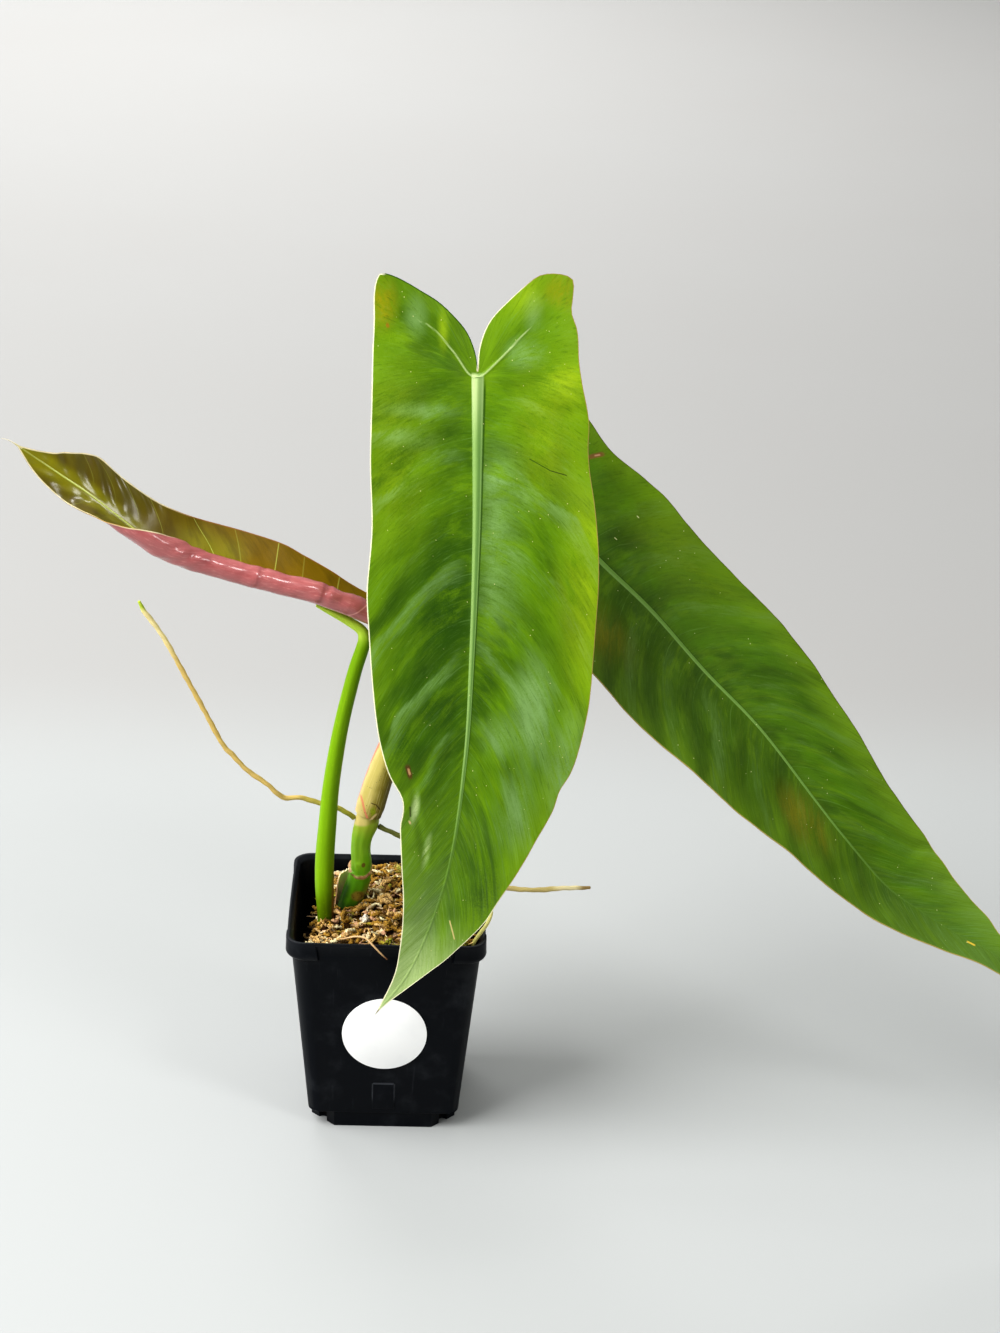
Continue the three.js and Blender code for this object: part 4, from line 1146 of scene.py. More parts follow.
def leaf_top(name, length, roughness, looks, tints, blemishes):
    """
    Upper face of a grown leaf, mottled along its laterals, with waxy whitish patches that are partly
    painted sheen, painted shade before its creases, and halves painted in a darker and a lighter green.
    Tints list a place, a reach, a colour's name and a share, and blemishes a line, its half width,
    colour, share and depth.
    """
    shader = material(name)
    across, along, edge = shader.attribute("flat")
    station, lobe, slope = shader.attribute("vein")
    ratio, fade, _ = shader.attribute("rib")
    out = abs(across)
    side = shader.rise(across, -0.1, 0.1) * 7
    right = shader.rise(across, -4, 8)
    away = shader.math("SQRT", across * across + along * along)
    clouds = shader.noise(1.0, 3.0, 0.6, 0.8, at=(station / 19, out / 26, side))
    mottle = shader.noise(1.0, 4.0, 0.65, 0.5, at=(station / 4.5, out / 15, side))
    fibres = shader.noise(1.0, 3.0, 0.65, 0.3, at=(station * 1.2, out * 0.2, side))
    curls = shader.noise(620.0, 3.0, 0.7, 2.2)
    ragged = mottle * 0.55 + curls * 0.3 + clouds * 0.5
    # Painted shade and light: the left half is painted in a darker green and the right half in a
    # lighter one.
    shader.base = shader.blend(looks.left, looks.right, right)
    shader.coat(looks.deep, shader.rise(clouds, 0.42, 0.66) * 0.55)
    shader.coat(looks.light, shader.fall(mottle, 0.34, 0.54) * 0.35)
    # Painted light: the blade is painted lighter towards its margins, most on the right half.
    painted_margin_light = shader.fall(edge, 1, 15) * (0.3 + right * 0.4)
    shader.coat(looks.light, painted_margin_light * (0.5 + mottle))
    # Painted shade on the slope before each crease.
    feathered = slope + (mottle - 0.5) * 1.1 + (fibres - 0.5) * 0.5
    shader.coat(looks.deep, shader.fall(feathered, -1.1, 0.1) * (0.85 - right * 0.35))
    for centre, reach, colour, share in tints:
        tint = shader.spot(across, along, centre, reach) * shader.rise(ragged, 0.45, 0.85)
        shader.coat(getattr(looks, colour), tint * share)
    # Waxy patches with painted sheen: beside the midrib on the right, on the slopes past each crease
    # that face the light, and low on the leaf.
    beside_rib = right * shader.fall(out + clouds * 14, 14, 32) * looks.beside_rib
    beside_rib = beside_rib * shader.rise(along, 18, 46) * shader.fall(along, 92, 118)
    low = shader.fall(fade, 0.02, 0.42)
    clear_low = shader.rise(along, 192, 208) * shader.fall(along, 232, 258)
    low = low * (1 - clear_low * (0.25 + right * 0.5) * looks.clear_low)
    upper = shader.rise(feathered, 0.1, 1.0) * (right + shader.rise(out, 2, 14) * (1 - right))
    bloom = upper * 0.7 + beside_rib + low * 0.55
    bloom = bloom * shader.rise(ragged, 0.46, 0.84) * shader.rise(away, 5, 20)
    shader.coat(looks.bloom, bloom * looks.bloom_share)
    shader.coat(looks.pale, low * low * shader.rise(ragged, 0.2, 1.0) * looks.pale_low)
    strokes = shader.rise(fibres, 0.5, 0.72)
    shader.coat(looks.bloom, strokes * (0.1 + bloom * 0.3))
    shader.coat(looks.pale, strokes * low * 0.35)
    shader.coat(looks.deep, shader.fall(fibres, 0.3, 0.46) * 0.3)
    lines = lateral_pattern(shader, station, out, 9.5, 0.35) * shader.rise(away, 8, 20)
    lines = lines * shader.fall(out, 8, 26) * shader.rise(mottle, 0.44, 0.6)
    shader.coat(looks.vein, lines * 0.3)
    shader.coat(looks.pale, shader.rise(along, length - 30, length) * 0.6)
    border = margin_colour(shader, across, along, looks.margin, looks.far_margin, looks.deep)
    shader.coat(border, shader.fall(edge + right * 0.15 + (curls - 0.5) * 0.3, 0.25, 0.6))
    shader.coat(DRY_TIP, shader.rise(along, length - 3, length - 1))
    crest = shader.fall(abs(ratio), 0.82, 1.05) * shader.rise(along, -2.2, -0.4)
    shadow = shader.fall(abs(ratio - 1.12), 0.05, 0.3) * shader.rise(along, 0, 6)
    shader.coat(looks.deep, shadow * shader.rise(fade, 0.3, 0.6) * 0.85)
    # Painted light and shade: the midrib is painted lighter on its left and mostly darker on its right.
    grooves = shader.noise(1.0, 2.0, at=(ratio * 2.5, along * 0.02, 3)) - 0.5
    rib_colour = shader.blend(looks.rib, looks.vein, shader.rise(ratio + grooves * 0.8, -0.5, 0.2))
    rib_side = shader.fall(abs(ratio - 0.75), 0.05, 0.2)
    rib_colour = shader.blend(rib_colour, looks.rib, rib_side * 0.6)
    topmost = shader.fall(along, 2, 30) * (1 - shader.rise(ratio + grooves, -0.5, 0.3) * 0.7)
    rib_colour = shader.blend(rib_colour, looks.pale, topmost)
    shader.coat(rib_colour, crest * (0.08 + shader.rise(fade, 0.2, 0.5) * 0.87))
    lobe_line = shader.fall(lobe, 0.15, 0.6)
    lobe_line = lobe_line * shader.fall(away, 24, 40) * shader.fall(station, -1, 1)
    shader.coat(looks.pale, lobe_line * 0.6)
    flecks = shader.cells(1.0, at=(across * 0.3, along * 0.3))
    chance = shader.noise(1.0, 0.0, at=(across * 0.08, along * 0.08))
    fleck = shader.fall(flecks, 0.04, 0.08) * shader.rise(chance, 0.5, 0.56)
    shader.coat(looks.fleck, fleck * 0.7)
    height = fibres * 0.35 + lines * 0.2 + curls * 0.4
    for start, end, wide, colour, share, depth in blemishes:
        mark = shader.streak(across, along, start, end, wide)
        torn = mark * shader.rise(curls + mark * 0.4, 0.5, 0.75)
        shader.coat(colour, torn * share)
        height = height - torn * depth
    gloss = roughness + curls * 0.22 - crest * 0.05 + bloom * 0.15
    return shader.close(gloss, height, 0.14, looks.shine)


def leaf_underside(name, dull, vein):
    """Matt, paler underside with a broad rib."""
    shader = material(name)
    out = abs(shader.attribute("flat")[0])
    station = shader.attribute("vein")[0]
    streaks = shader.noise(1.0, 4.0, 0.6, at=(station * 0.7, out * 0.08))
    grain = shader.noise(1100.0, 3.0)
    lines = lateral_pattern(shader, station, out, 6.6, 0.7) * shader.rise(out, 3, 8)
    shader.base = shader.blend(dull, vein, streaks * 0.35)
    shader.coat(vein, lines * 0.45)
    shader.coat(vein, shader.fall(out, 1.2, 3.2))
    return shader.close(0.5 + grain * 0.2, lines * 0.6 + grain * 0.3, 0.2)


def leaf_margin(name, left, right):
    """Thin edge of a leaf, in a colour for each half."""
    shader = material(name)
    across, along, _ = shader.attribute("flat")
    patches = shader.noise(180.0, 3.0)
    shader.base = margin_colour(shader, across, along, left, right, srgb(104, 112, 44))
    shader.coat(right, shader.rise(patches, 0.45, 0.75) * 0.5)
    return shader.close(0.45 + patches * 0.2, patches, 0.05)


def young_veins(shader, along, out):
    """Thin laterals of the young leaf, each curved towards the tip."""
    lines = 0.0
    for foot, curve, share in YOUNG_VEINS:
        away = abs(along - foot - out * out * curve)
        lines = lines + shader.fall(away, 0.05, 0.45) * share
    return lines * shader.rise(out, 3, 8)


def new_leaf_top(looks):
    """Young blade: gold near its stalk and olive near its tip, with a few curved laterals."""
    shader = material("young_leaf_face")
    across, along, edge = shader.attribute("flat")
    out = abs(across)
    bent = along - out * out * 0.035
    streaks = shader.noise(1.0, 5.0, 0.65, at=(bent * 0.5, out * 0.08))
    clouds = shader.noise(1.0, 3.0, 0.6, at=(bent * 0.09, out * 0.05))
    grain = shader.noise(1000.0, 3.0, 0.6)
    shader.base = shader.blend(looks.bronze, looks.olive, shader.rise(along, 60, 125))
    lit = shader.rise(along, 52, 66) * shader.fall(along, 78, 100) * shader.fall(out, 10, 22)
    shader.coat(looks.glow, lit * (0.35 + clouds))
    shader.coat(looks.shade, shader.rise(clouds, 0.46, 0.68) * 0.55)
    shader.coat(looks.shade, shader.rise(streaks, 0.55, 0.75) * 0.3)
    near_rib = shader.fall(out, 2, 6) * shader.rise(along, 98, 112)
    shader.coat(looks.glow, near_rib * (0.2 + clouds))
    lines = young_veins(shader, along, out)
    shader.coat(looks.vein, lines * 0.8)
    rib = shader.fall(out, 0.15, 0.5)
    shader.coat(looks.vein, rib * (1 - shader.rise(along, 140, 165) * 0.7))
    far_edge = shader.blend(srgb(150, 104, 52), looks.margin, shader.rise(along, 84, 112))
    shader.coat(far_edge, shader.fall(edge, 0.25, 0.6))
    height = streaks * 0.5 + lines * 0.4 + grain * 0.2
    gloss = shader.rise(along, 98, 120)
    return shader.close(0.42 - gloss * 0.14, height, 0.2, 0.2, Coat_Weight=gloss, Coat_Roughness=0.17)


def new_leaf_underside(looks):
    """Outside of the roll: dusty rose with fine pale streaks."""
    shader = material("young_leaf_back")
    across, along, edge = shader.attribute("flat")
    streaks = shader.noise(1.0, 5.0, 0.65, at=(along * 0.2, across * 1.3))
    clouds = shader.noise(60.0, 3.0)
    grain = shader.noise(1200.0, 3.0, 0.6)
    side = shader.rise(across, -1, 3)
    shader.base = shader.blend(looks.olive, looks.rose, side)
    shader.coat(looks.pale_rose, shader.rise(streaks, 0.5, 0.72) * side * 0.45)
    shader.coat(looks.deep_rose, shader.rise(clouds, 0.45, 0.7) * side * 0.5)
    # Painted shade in the grooves of the rings round the roll.
    painted_fold_shade = 0.0
    for line, depth in ROLL_RINGS:
        painted_fold_shade = painted_fold_shade + shader.fall(abs(along - line), 0.2, 1.0) * depth
    shader.coat(looks.deep_rose, painted_fold_shade * side * clouds)
    seam = shader.streak(across, along, (5, 9.5), (15, 3), 0.5)
    shader.coat(looks.pale_rose, seam * 0.8)
    shader.coat(looks.margin, shader.fall(edge, 0.25, 0.6) * shader.rise(along, 90, 104))
    wrinkles = shader.noise(1.0, 3.0, 0.6, at=(along * 0.5, across * 0.25))
    height = streaks * 0.4 + wrinkles * 0.6 + grain * 0.1
    return shader.close(0.4 + streaks * 0.15, height, 0.22, 0.3, Coat_Weight=1.0, Coat_Roughness=0.14)


def stalk(name, colours, stops, streak_colour, roughness=0.38, blush=None):
    """
    Smooth stalk whose colour changes along it, with fine streaks and flecks, and where it is
    given a blush on the right of its foot.
    """
    shader = material(name)
    run, around, total = shader.attribute("run")
    share = run / total
    streaks = shader.noise(1.0, 4.0, 0.6, at=(run * 0.06, around * 22))
    patches = shader.noise(110.0, 3.0)
    grain = shader.noise(1300.0, 2.0)
    shader.base = colours[0]
    for colour, (low, high) in zip(colours[1:], stops):
        shader.coat(colour, shader.rise(share + (patches - 0.5) * 0.05, low, high))
    shader.coat(streak_colour, shader.rise(streaks, 0.5, 0.75) * 0.35)
    flecks = shader.fall(shader.cells(420.0), 0.08, 0.2)
    shader.coat(streak_colour, flecks * 0.25)
    if blush:
        red = shader.fall(abs(around - 0.7), 0.02, 0.1) * shader.fall(share, 0.1, 0.26)
        shader.coat(blush, red * (0.3 + patches))
    return shader.close(roughness + patches * 0.15, streaks * 0.5 + grain * 0.25, 0.12, 0.16)


def stem_skin():
    """
    Bright green stem, darker below its lower node, with a tan fringe there, a brown eye and a
    round scar, and pale flaps at its upper node.
    """
    shader = material("stem_skin")
    run, around, _ = shader.attribute("run")
    x, y, z = shader.millimetres()
    streaks = shader.noise(1.0, 4.0, 0.6, at=(run * 0.08, around * 26))
    patches = shader.noise(260.0, 3.0, 0.6)
    grain = shader.noise(1300.0, 2.0)
    front = shader.fall(y, -1, 1)
    past_ring = z - y * NODE.slant - NODE.z
    torn = (patches - 0.5) * 2.4
    shader.base = srgb(118, 180, 4)
    shader.coat(srgb(150, 194, 20), shader.rise(streaks, 0.45, 0.75) * 0.6)
    shader.coat(srgb(84, 140, 6), shader.fall(past_ring, -2, 0) * 0.9)
    shader.coat(srgb(40, 64, 30), shader.fall(past_ring + torn, -19, -10))
    shaded = shader.rise(past_ring, 0, 1.5) * shader.fall(past_ring, 1.5, 6)
    shader.coat(srgb(88, 146, 8), shaded * 0.6)
    shader.coat(srgb(160, 176, 40), shader.rise(z + torn, 131, 139))
    fringe = shader.fall(abs(past_ring + torn * 0.3), 0.5, 1.1)
    tan = shader.blend(srgb(206, 168, 124), srgb(150, 108, 70), shader.rise(patches, 0.42, 0.62))
    shader.coat(tan, fringe)
    sideways = x + 15 - (z - 105) * 0.32 + torn
    above = shader.rise(past_ring, 1, 5)
    # Painted light and shade: above the ring the stem's left side is painted lighter and its right side
    # darker.
    shader.coat(srgb(172, 206, 64), above * shader.fall(sideways, -3.5, 0) * front * 0.35)
    shader.coat(srgb(70, 116, 4), above * shader.rise(sideways, 0.5, 4) * 0.6)
    low = shader.fall(past_ring, -8, -2) * front
    shader.coat(srgb(20, 52, 8), low * shader.fall(sideways, -4.5, -1) * 0.9)
    shader.coat(srgb(140, 132, 40), low * shader.rise(sideways, 2, 4.5) * 0.6)
    scar = shader.spot(x, z, (-13.6, 103.4), (5.4, 4.6)) * front
    rust = shader.blend(srgb(160, 124, 56), srgb(104, 62, 24), shader.rise(patches, 0.44, 0.58))
    shader.coat(rust, shader.rise(scar + torn * 0.2, 0.15, 0.6) * 0.8)
    eye = shader.spot(x, z, (-11.4, 119), (1.5, 1.9)) * front
    shader.coat(srgb(112, 74, 26), shader.rise(eye, 0.2, 0.5) * 0.85)
    smile = z - 138.6 - (x + 9.6) * 0.25
    tan_side = shader.fall(x + torn, -12, -7)
    top = shader.blend(srgb(150, 156, 30), srgb(214, 196, 120), tan_side)
    shader.coat(top, shader.rise(smile + torn * 0.4, 0, 1.6))
    shader.coat(srgb(240, 214, 160), shader.streak(x, z, *NODE_FLAP, 0.8) * front)
    height = streaks * 0.5 + grain * 0.25 + fringe * patches - scar * 0.5
    return shader.close(0.36 + patches * 0.15, height, 0.16, 0.3)


def black_plastic(looks):
    """Near-black injection-moulded plastic, satin, with dust and fine scuffs, and painted highlights
    along the edges of the moulded tab.
    """
    shader = material("black_plastic")
    x, y, z = shader.parts(shader.place())
    out = abs(x * (1 / MM))
    side = abs(out - TAB.width / 2)
    rise = z * (1 / MM) - TAB.bottom
    # Painted highlights along the moulded tab's sides and top edge, on the front wall.
    sides = shader.fall(side, 0.15, 0.5) * shader.rise(rise, 3, 7)
    sides = sides * shader.fall(rise, TAB.height - 0.4, TAB.height)
    top = shader.fall(abs(rise - TAB.height), 0.2, 0.6)
    top = top * shader.fall(out, TAB.width / 2 - 0.6, TAB.width / 2)
    painted_tab_edge_light = (sides + top) * shader.fall(y, -0.034, -0.03)
    mould = shader.noise(700.0, 3.0, 0.6)
    dust = shader.noise(60.0, 4.0, 0.6)
    drawn = shader.noise(1.0, 3.0, at=(x * 500, y * 500, z * 12))
    dusty = shader.rise(dust, 0.5, 0.8) * 0.5 + shader.rise(z, 0.094, 0.1) * 0.2
    shader.base = shader.blend(looks.plastic, looks.dust, dusty * 0.14)
    shader.coat(looks.dust, shader.rise(drawn, 0.62, 0.8) * 0.06)
    shader.coat(looks.dust, painted_tab_edge_light * (dust * 0.3))
    rough = 0.3 + dust * 0.16 + shader.rise(drawn, 0.5, 0.8) * 0.08
    return shader.close(rough, mould + drawn * 0.4, 0.02, 0.12)


def label_paper(looks):
    """Bare white label with a fine paper grain."""
    shader = material("label_paper")
    fibres = shader.noise(900.0, 4.0, 0.7)
    mottle = shader.noise(90.0, 2.0)
    shader.base = looks.label
    shader.coat(looks.label_shade, shader.rise(mottle, 0.45, 0.8) * 0.25)
    return shader.close(0.42 + fibres * 0.15, fibres, 0.02)


def moss_earth(looks):
    """Brown bed between the strands: its dark brown is the moss's own tone and painted shade in the
    gaps, and it is painted darkest where it lies low in the pot, as painted shade.
    """
    shader = material("moss_bed")
    crumbs = shader.cells(420.0)
    clouds = shader.noise(160.0, 4.0)
    shader.base = shader.blend(looks.shade, looks.golden, shader.rise(clouds, 0.4, 0.7) * 0.55)
    shader.coat(looks.shade, shader.rise(crumbs, 0.2, 0.6) * 0.6)
    height = shader.parts(shader.place())[2]
    # Painted shade where the bed lies low in the pot.
    shader.base = shader.blend(MOSS_PAINTED_SHADE, shader.base, shader.rise(height, 0.082, 0.09))
    return shader.close(0.9 + clouds * 0.1, crumbs, 0.9, 0.1)


def moss_strand(looks):
    """Dry sphagnum, whose tone changes from strand to strand."""
    shader = material("moss_strand")
    tone, _, depth = shader.attribute("strand")
    scales = shader.cells(1500.0)
    patches = shader.noise(240.0, 3.0)
    clumps = shader.noise(90.0, 3.0, 0.6)
    mixed = tone + patches * 0.3
    shader.base = shader.blend(looks.shade, looks.golden, shader.rise(mixed, 0.05, 0.35))
    shader.coat(looks.tan, shader.rise(mixed, 0.4, 0.7))
    shader.coat(looks.pink, shader.rise(mixed, 0.7, 0.8) * shader.rise(clumps, 0.42, 0.5))
    x, y, z = shader.millimetres()
    tuft = shader.spot(x, y, (-14, 1), (9, 8)) + shader.spot(x, y, (-38, -30), (12, 10)) * 0.6
    alive = shader.rise(clumps + tuft * 0.3, 0.56, 0.66)
    shader.coat(looks.green, alive * 0.75)
    shader.coat(looks.pale, shader.rise(mixed, 0.86, 0.98))
    # Painted shade: strands are painted darker where they lie below the moss's top, and darkest low in
    # the pot.
    shader.coat(looks.shade, shader.fall(depth + (clumps - 0.5) * 3, -1.2, 1.2) * 0.9)
    shader.coat(MOSS_PAINTED_SHADE, shader.fall(z, 82, 91))
    shader.coat(looks.shade, shader.rise(scales, 0.3, 0.7) * 0.45)
    return shader.close(0.85, scales + patches, 0.3, 0.2)


def chalky_grain():
    """Porous white perlite."""
    shader = material("perlite")
    pores = shader.cells(1600.0)
    clouds = shader.noise(500.0, 3.0)
    pits = shader.rise(pores + clouds * 0.3, 0.45, 0.8)
    shader.base = shader.blend(srgb(232, 228, 216), srgb(176, 165, 146), pits)
    return shader.close(0.92, pores, 0.3)


def stage_floor(looks):
    """Pale floor, painted a little darker behind the plant as painted shade."""
    shader = material("studio_floor")
    clouds = shader.noise(3.0, 2.0)
    back = shader.parts(shader.place())[1]
    shader.base = shader.blend(looks.floor, looks.far_floor, shader.rise(back, *STAGE.change))
    shader.coat(looks.floor_shade, clouds * 0.3)
    return shader.close(0.7, clouds, 0.05)


def colour_property(name, description, red, green, blue):
    return bpy.props.FloatVectorProperty(
        name=name, description=description, subtype="COLOR", size=3, min=0, max=1,
        default=srgb(red, green, blue))


def length_property(name, description, default, low, high):
    return bpy.props.FloatProperty(
        name=name, description=description, default=default, min=low, max=high, unit="LENGTH")


def power_property(name, description, default):
    return bpy.props.FloatProperty(
        name=name, description=description, default=default, unit="POWER")


LABEL_LOW, LABEL_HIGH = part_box("label")


class PLANT_PG_leaves(bpy.types.PropertyGroup):
    """Sizes and colours of the grown leaves."""

    thickness: length_property("Thickness", "Thickness of a leaf blade", 0.0006, 0.0003, 0.002)
    quilting: length_property("Quilting", "Depth of the creases along lateral veins", 0.0008, 0, 0.002)
    roughness: bpy.props.FloatProperty(
        name="Roughness", description="Roughness of the upper face", default=0.36, min=0, max=1)
    # Painted shade and light: the left half's green is painted darker as shade and the right half's
    # lighter as lit.
    fresh: colour_property("Fresh green", "Left half of the front leaf", 78, 114, 0)
    sunny: colour_property("Sunny green", "Right half of the front leaf", 88, 126, 0)
    light: colour_property("Light green", "Light bands of the front leaf", 116, 152, 6)
    # This darker green is the leaf's own tone and also painted shade.
    deep: colour_property("Deep green", "Hollows of the front leaf", 42, 76, 0)
    vein: colour_property("Vein green", "Midrib and veins of the front leaf", 102, 138, 68)
    # This pale colour stands for the leaf's waxy coating and also for painted sheen.
    bloom: colour_property("Bloom", "Waxy bloom on the front leaf", 120, 154, 88)
    margin: colour_property("Margin", "Thin edge of the leaves", 238, 234, 196)


class PLANT_PG_new_leaf(bpy.types.PropertyGroup):
    """Colours of the young leaf."""

    bronze: colour_property("Bronze", "Young leaf near its stalk", 124, 98, 2)
    olive: colour_property("Olive", "Young leaf near its tip", 96, 86, 4)
    glow: colour_property("Glow", "Light shining through its middle", 136, 132, 4)
    rose: colour_property("Rose", "Outside of the roll", 174, 96, 95)
    deep_rose: colour_property("Deep rose", "Folds of the roll", 132, 54, 56)
    pale_rose: colour_property("Pale rose", "Streaks on the roll", 218, 148, 142)
    shade: colour_property("Shade", "Darker patches", 84, 66, 2)
    vein: colour_property("Vein", "Its midrib and laterals", 190, 200, 96)
    margin: colour_property("Margin", "Its edge", 228, 216, 172)


class PLANT_PG_moss(bpy.types.PropertyGroup):
    """Amount and colours of the moss."""

    strands: bpy.props.IntProperty(
        name="Strands", description="Number of loose strands", default=1750, min=100, max=2200)
    strand_length: length_property("Strand length", "Usual length of a strand", 0.008, 0.002, 0.014)
    seed: bpy.props.IntProperty(name="Seed", description="Draw of the strands", default=4, min=0)
    # Shade is the moss's own dark tone and also painted shade in its hollows and gaps.
    shade: colour_property("Shade", "Moss in its hollows", 58, 34, 16)
    golden: colour_property("Golden", "Golden strands", 172, 132, 50)
    tan: colour_property("Tan", "Tan strands", 214, 178, 116)
    pink: colour_property("Pink", "Pinkish strands", 206, 160, 126)
    pale: colour_property("Pale", "Bleached strands", 238, 224, 178)
    green: colour_property("Green", "Living strands", 150, 158, 44)


class PLANT_PG_pot(bpy.types.PropertyGroup):
    """Colours of the pot and size of its label."""

    label_radius: length_property("Label radius", "Radius of the round label",
                                  (LABEL_HIGH.x - LABEL_LOW.x) / 2, 0.005, 0.03)
    plastic: colour_property("Plastic", "Pot", 4, 7, 13)
    dust: colour_property("Dust", "Dust and scuffs on the pot", 120, 124, 130)
    label: colour_property("Label", "Bare label", 246, 246, 244)
    label_shade: colour_property("Label shade", "Mottling of the label", 226, 227, 228)


class PLANT_PG_stage(bpy.types.PropertyGroup):
    """Floor and light of the studio."""

    floor: colour_property("Floor", "Floor", 163, 165, 164)
    far_floor: colour_property("Far floor", "Floor behind the plant", 154, 153, 151)
    floor_shade: colour_property("Floor shade", "Faint mottling of the floor", 160, 162, 162)
    key_power: power_property("Key light", "Power of the large soft light", 72)
    wash_power: power_property("Back light", "Power of the light on the far floor", 37)
    fill_power: power_property("Fill light", "Power of the light from the right", 6.5)
    window_power: power_property("Window light", "Power of the small high light on the right", 4)
    sky: bpy.props.FloatProperty(
        name="Room light", description="Strength of the even light", default=0.47, min=0)


def front_looks(settings):
    """Colours of the front leaf, in the sun."""
    return SimpleNamespace(
        left=settings.fresh, right=settings.sunny, light=settings.light,
        deep=settings.deep, vein=settings.vein, margin=settings.margin,
        bloom=settings.bloom, bloom_share=0.85, rib=srgb(140, 172, 98),
        pale=srgb(184, 204, 140), beside_rib=0.85, shine=0.18,
        ripe=srgb(148, 138, 4), sun=srgb(150, 176, 20), fleck=srgb(220, 214, 150),
        far_margin=srgb(150, 130, 70), pale_low=0.8, clear_low=1.0,
        back=srgb(120, 150, 70), back_vein=srgb(168, 190, 116),
    )


def side_looks():
    """Colours of the side leaf, which is darker: the front leaf's greens painted darker as shade, and
    its pale waxy patches partly painted sheen.
    """
    return SimpleNamespace(
        left=srgb(62, 92, 0), right=srgb(70, 106, 2), light=srgb(98, 128, 14),
        deep=srgb(40, 66, 0), vein=srgb(98, 132, 58), margin=srgb(150, 136, 76),
        bloom=srgb(98, 128, 66), bloom_share=0.6, rib=srgb(108, 140, 70),
        pale=srgb(104, 138, 74), beside_rib=0.0, shine=0.1,
        ripe=srgb(112, 106, 10), sun=srgb(96, 124, 8), fleck=srgb(206, 208, 150),
        far_margin=srgb(84, 78, 40), pale_low=0.25, clear_low=0.0,
        back=srgb(104, 132, 62), back_vein=srgb(150, 174, 100),
    )


def add_leaf(name, node, leaf, settings, looks, tints, blemishes, extra=None):
    """Adds a grown leaf: its blade and the materials of its two faces and its edge."""
    length = leaf["plus"][-1][1]
    skins = [
        leaf_top(f"{name}_face", length, settings.roughness, looks, tints, blemishes),
        leaf_underside(f"{name}_back", looks.back, looks.back_vein),
        leaf_margin(f"{name}_edge", looks.margin, looks.far_margin),
    ]
    blade = leaf_blade(name, leaf, settings.thickness / MM, settings.quilting / MM, extra)
    finish(blade, node, skins)


def front_dents(across, along):
    """Folds in the front leaf's lower left part."""
    flat = together(across, along)
    away = outline_distance(flat, np.array([(-20.5, 180), (-18, 191), (-14, 203), (-10.5, 214)]))
    return -0.9 * np.exp(-((away / 1.4) ** 2))


def roll_relief(across, along):
    """Grooves round the roll of the young leaf, bulges beside them and shallow wrinkles."""
    flat = together(across, along * 0.5)
    on_roll = smooth_rise(across, 3, 8)
    relief = 0.16 * lumps(flat, 5, 21) * on_roll
    for line, depth in ROLL_RINGS:
        past = along - line + 0.12 * across
        groove = np.exp(-((past / 0.9) ** 2)) - 0.45 * np.exp(-(((np.abs(past) - 2.4) / 1.6) ** 2))
        relief += 0.6 * depth * groove * on_roll
    out = np.abs(across)
    bent = along - 0.085 * out**2 + 1.5 * lumps(flat, 14, 22)
    pillows = np.sin(2 * np.pi * bent / 12.5) * smooth_rise(along, 98, 118) * smooth_rise(out, 0.8, 4)
    return relief + 0.36 * pillows * (1 - on_roll)


class PLANT_OT_pot(bpy.types.Operator):
    """Add the nursery pot with its drain holes and moulded tab"""

    bl_idname = "plant.pot"
    bl_label = "Pot"

    def execute(self, context):
        looks = context.scene.plant_pot
        piece = pot_shell()
        for radius, x, y in DRAIN_HOLES:
            for quarter in range(4):
                turned = Matrix.Rotation(quarter * math.pi / 2, 3, "Z") @ Vector((x, y, 0))
                drill(piece, radius, turned.x, turned.y)
        finish(piece, "pot", [black_plastic(looks)], angle=32)
        tab = add("moulded_tab", bpy.ops.mesh.primitive_cube_add, size=1)
        tab.scale = (TAB.width * MM, TAB.height * MM, TAB.depth * MM)
        out = TAB.rise - TAB.depth / 2
        settle(tab, onto_front_wall(TAB.bottom + TAB.height / 2, out))
        apply(tab, "BEVEL", width=0.25 * MM, segments=3)
        finish(tab, None, [piece.data.materials[0]])
        return {"FINISHED"}


class PLANT_OT_label(bpy.types.Operator):
    """Add the bare round label on the pot's front wall"""

    bl_idname = "plant.label"
    bl_label = "Label"

    def execute(self, context):
        looks = context.scene.plant_pot
        piece = add("round_label", bpy.ops.mesh.primitive_cylinder_add, vertices=128,
                    radius=looks.label_radius, depth=LABEL.thickness * MM)
        settle(piece, onto_front_wall(LABEL.centre_z, LABEL.gap + LABEL.thickness / 2))
        apply(piece, "BEVEL", width=0.12 * MM, segments=2, limit_method="ANGLE")
        finish(piece, "label", [label_paper(looks)])
        return {"FINISHED"}


class PLANT_OT_moss(bpy.types.Operator):
    """Add the moss: its bed, its loose strands and a grain of perlite"""

    bl_idname = "plant.moss"
    bl_label = "Moss"

    def execute(self, context):
        looks = context.scene.plant_moss
        finish(moss_bed(), "moss", [moss_earth(looks)], angle=180)
        finish(moss_tops(looks), "moss", [moss_strand(looks)], angle=180)
        grain = add("perlite", bpy.ops.mesh.primitive_ico_sphere_add, subdivisions=4,
                    radius=GRAIN.radius * MM)
        points = points_of(grain.data) / MM
        swell = 1 + 0.2 * lumps(points, 2.2, 8)[:, None] + 0.07 * lumps(points, 0.9, 9)[:, None]
        move_points(grain.data, points * swell)
        x, y = GRAIN.x, GRAIN.y
        height = moss_top(x, y) + GRAIN.lift
        settle(grain, Matrix.Translation((x * MM, y * MM, height * MM)))
        finish(grain, "perlite_grain", [chalky_grain()], angle=180)
        return {"FINISHED"}


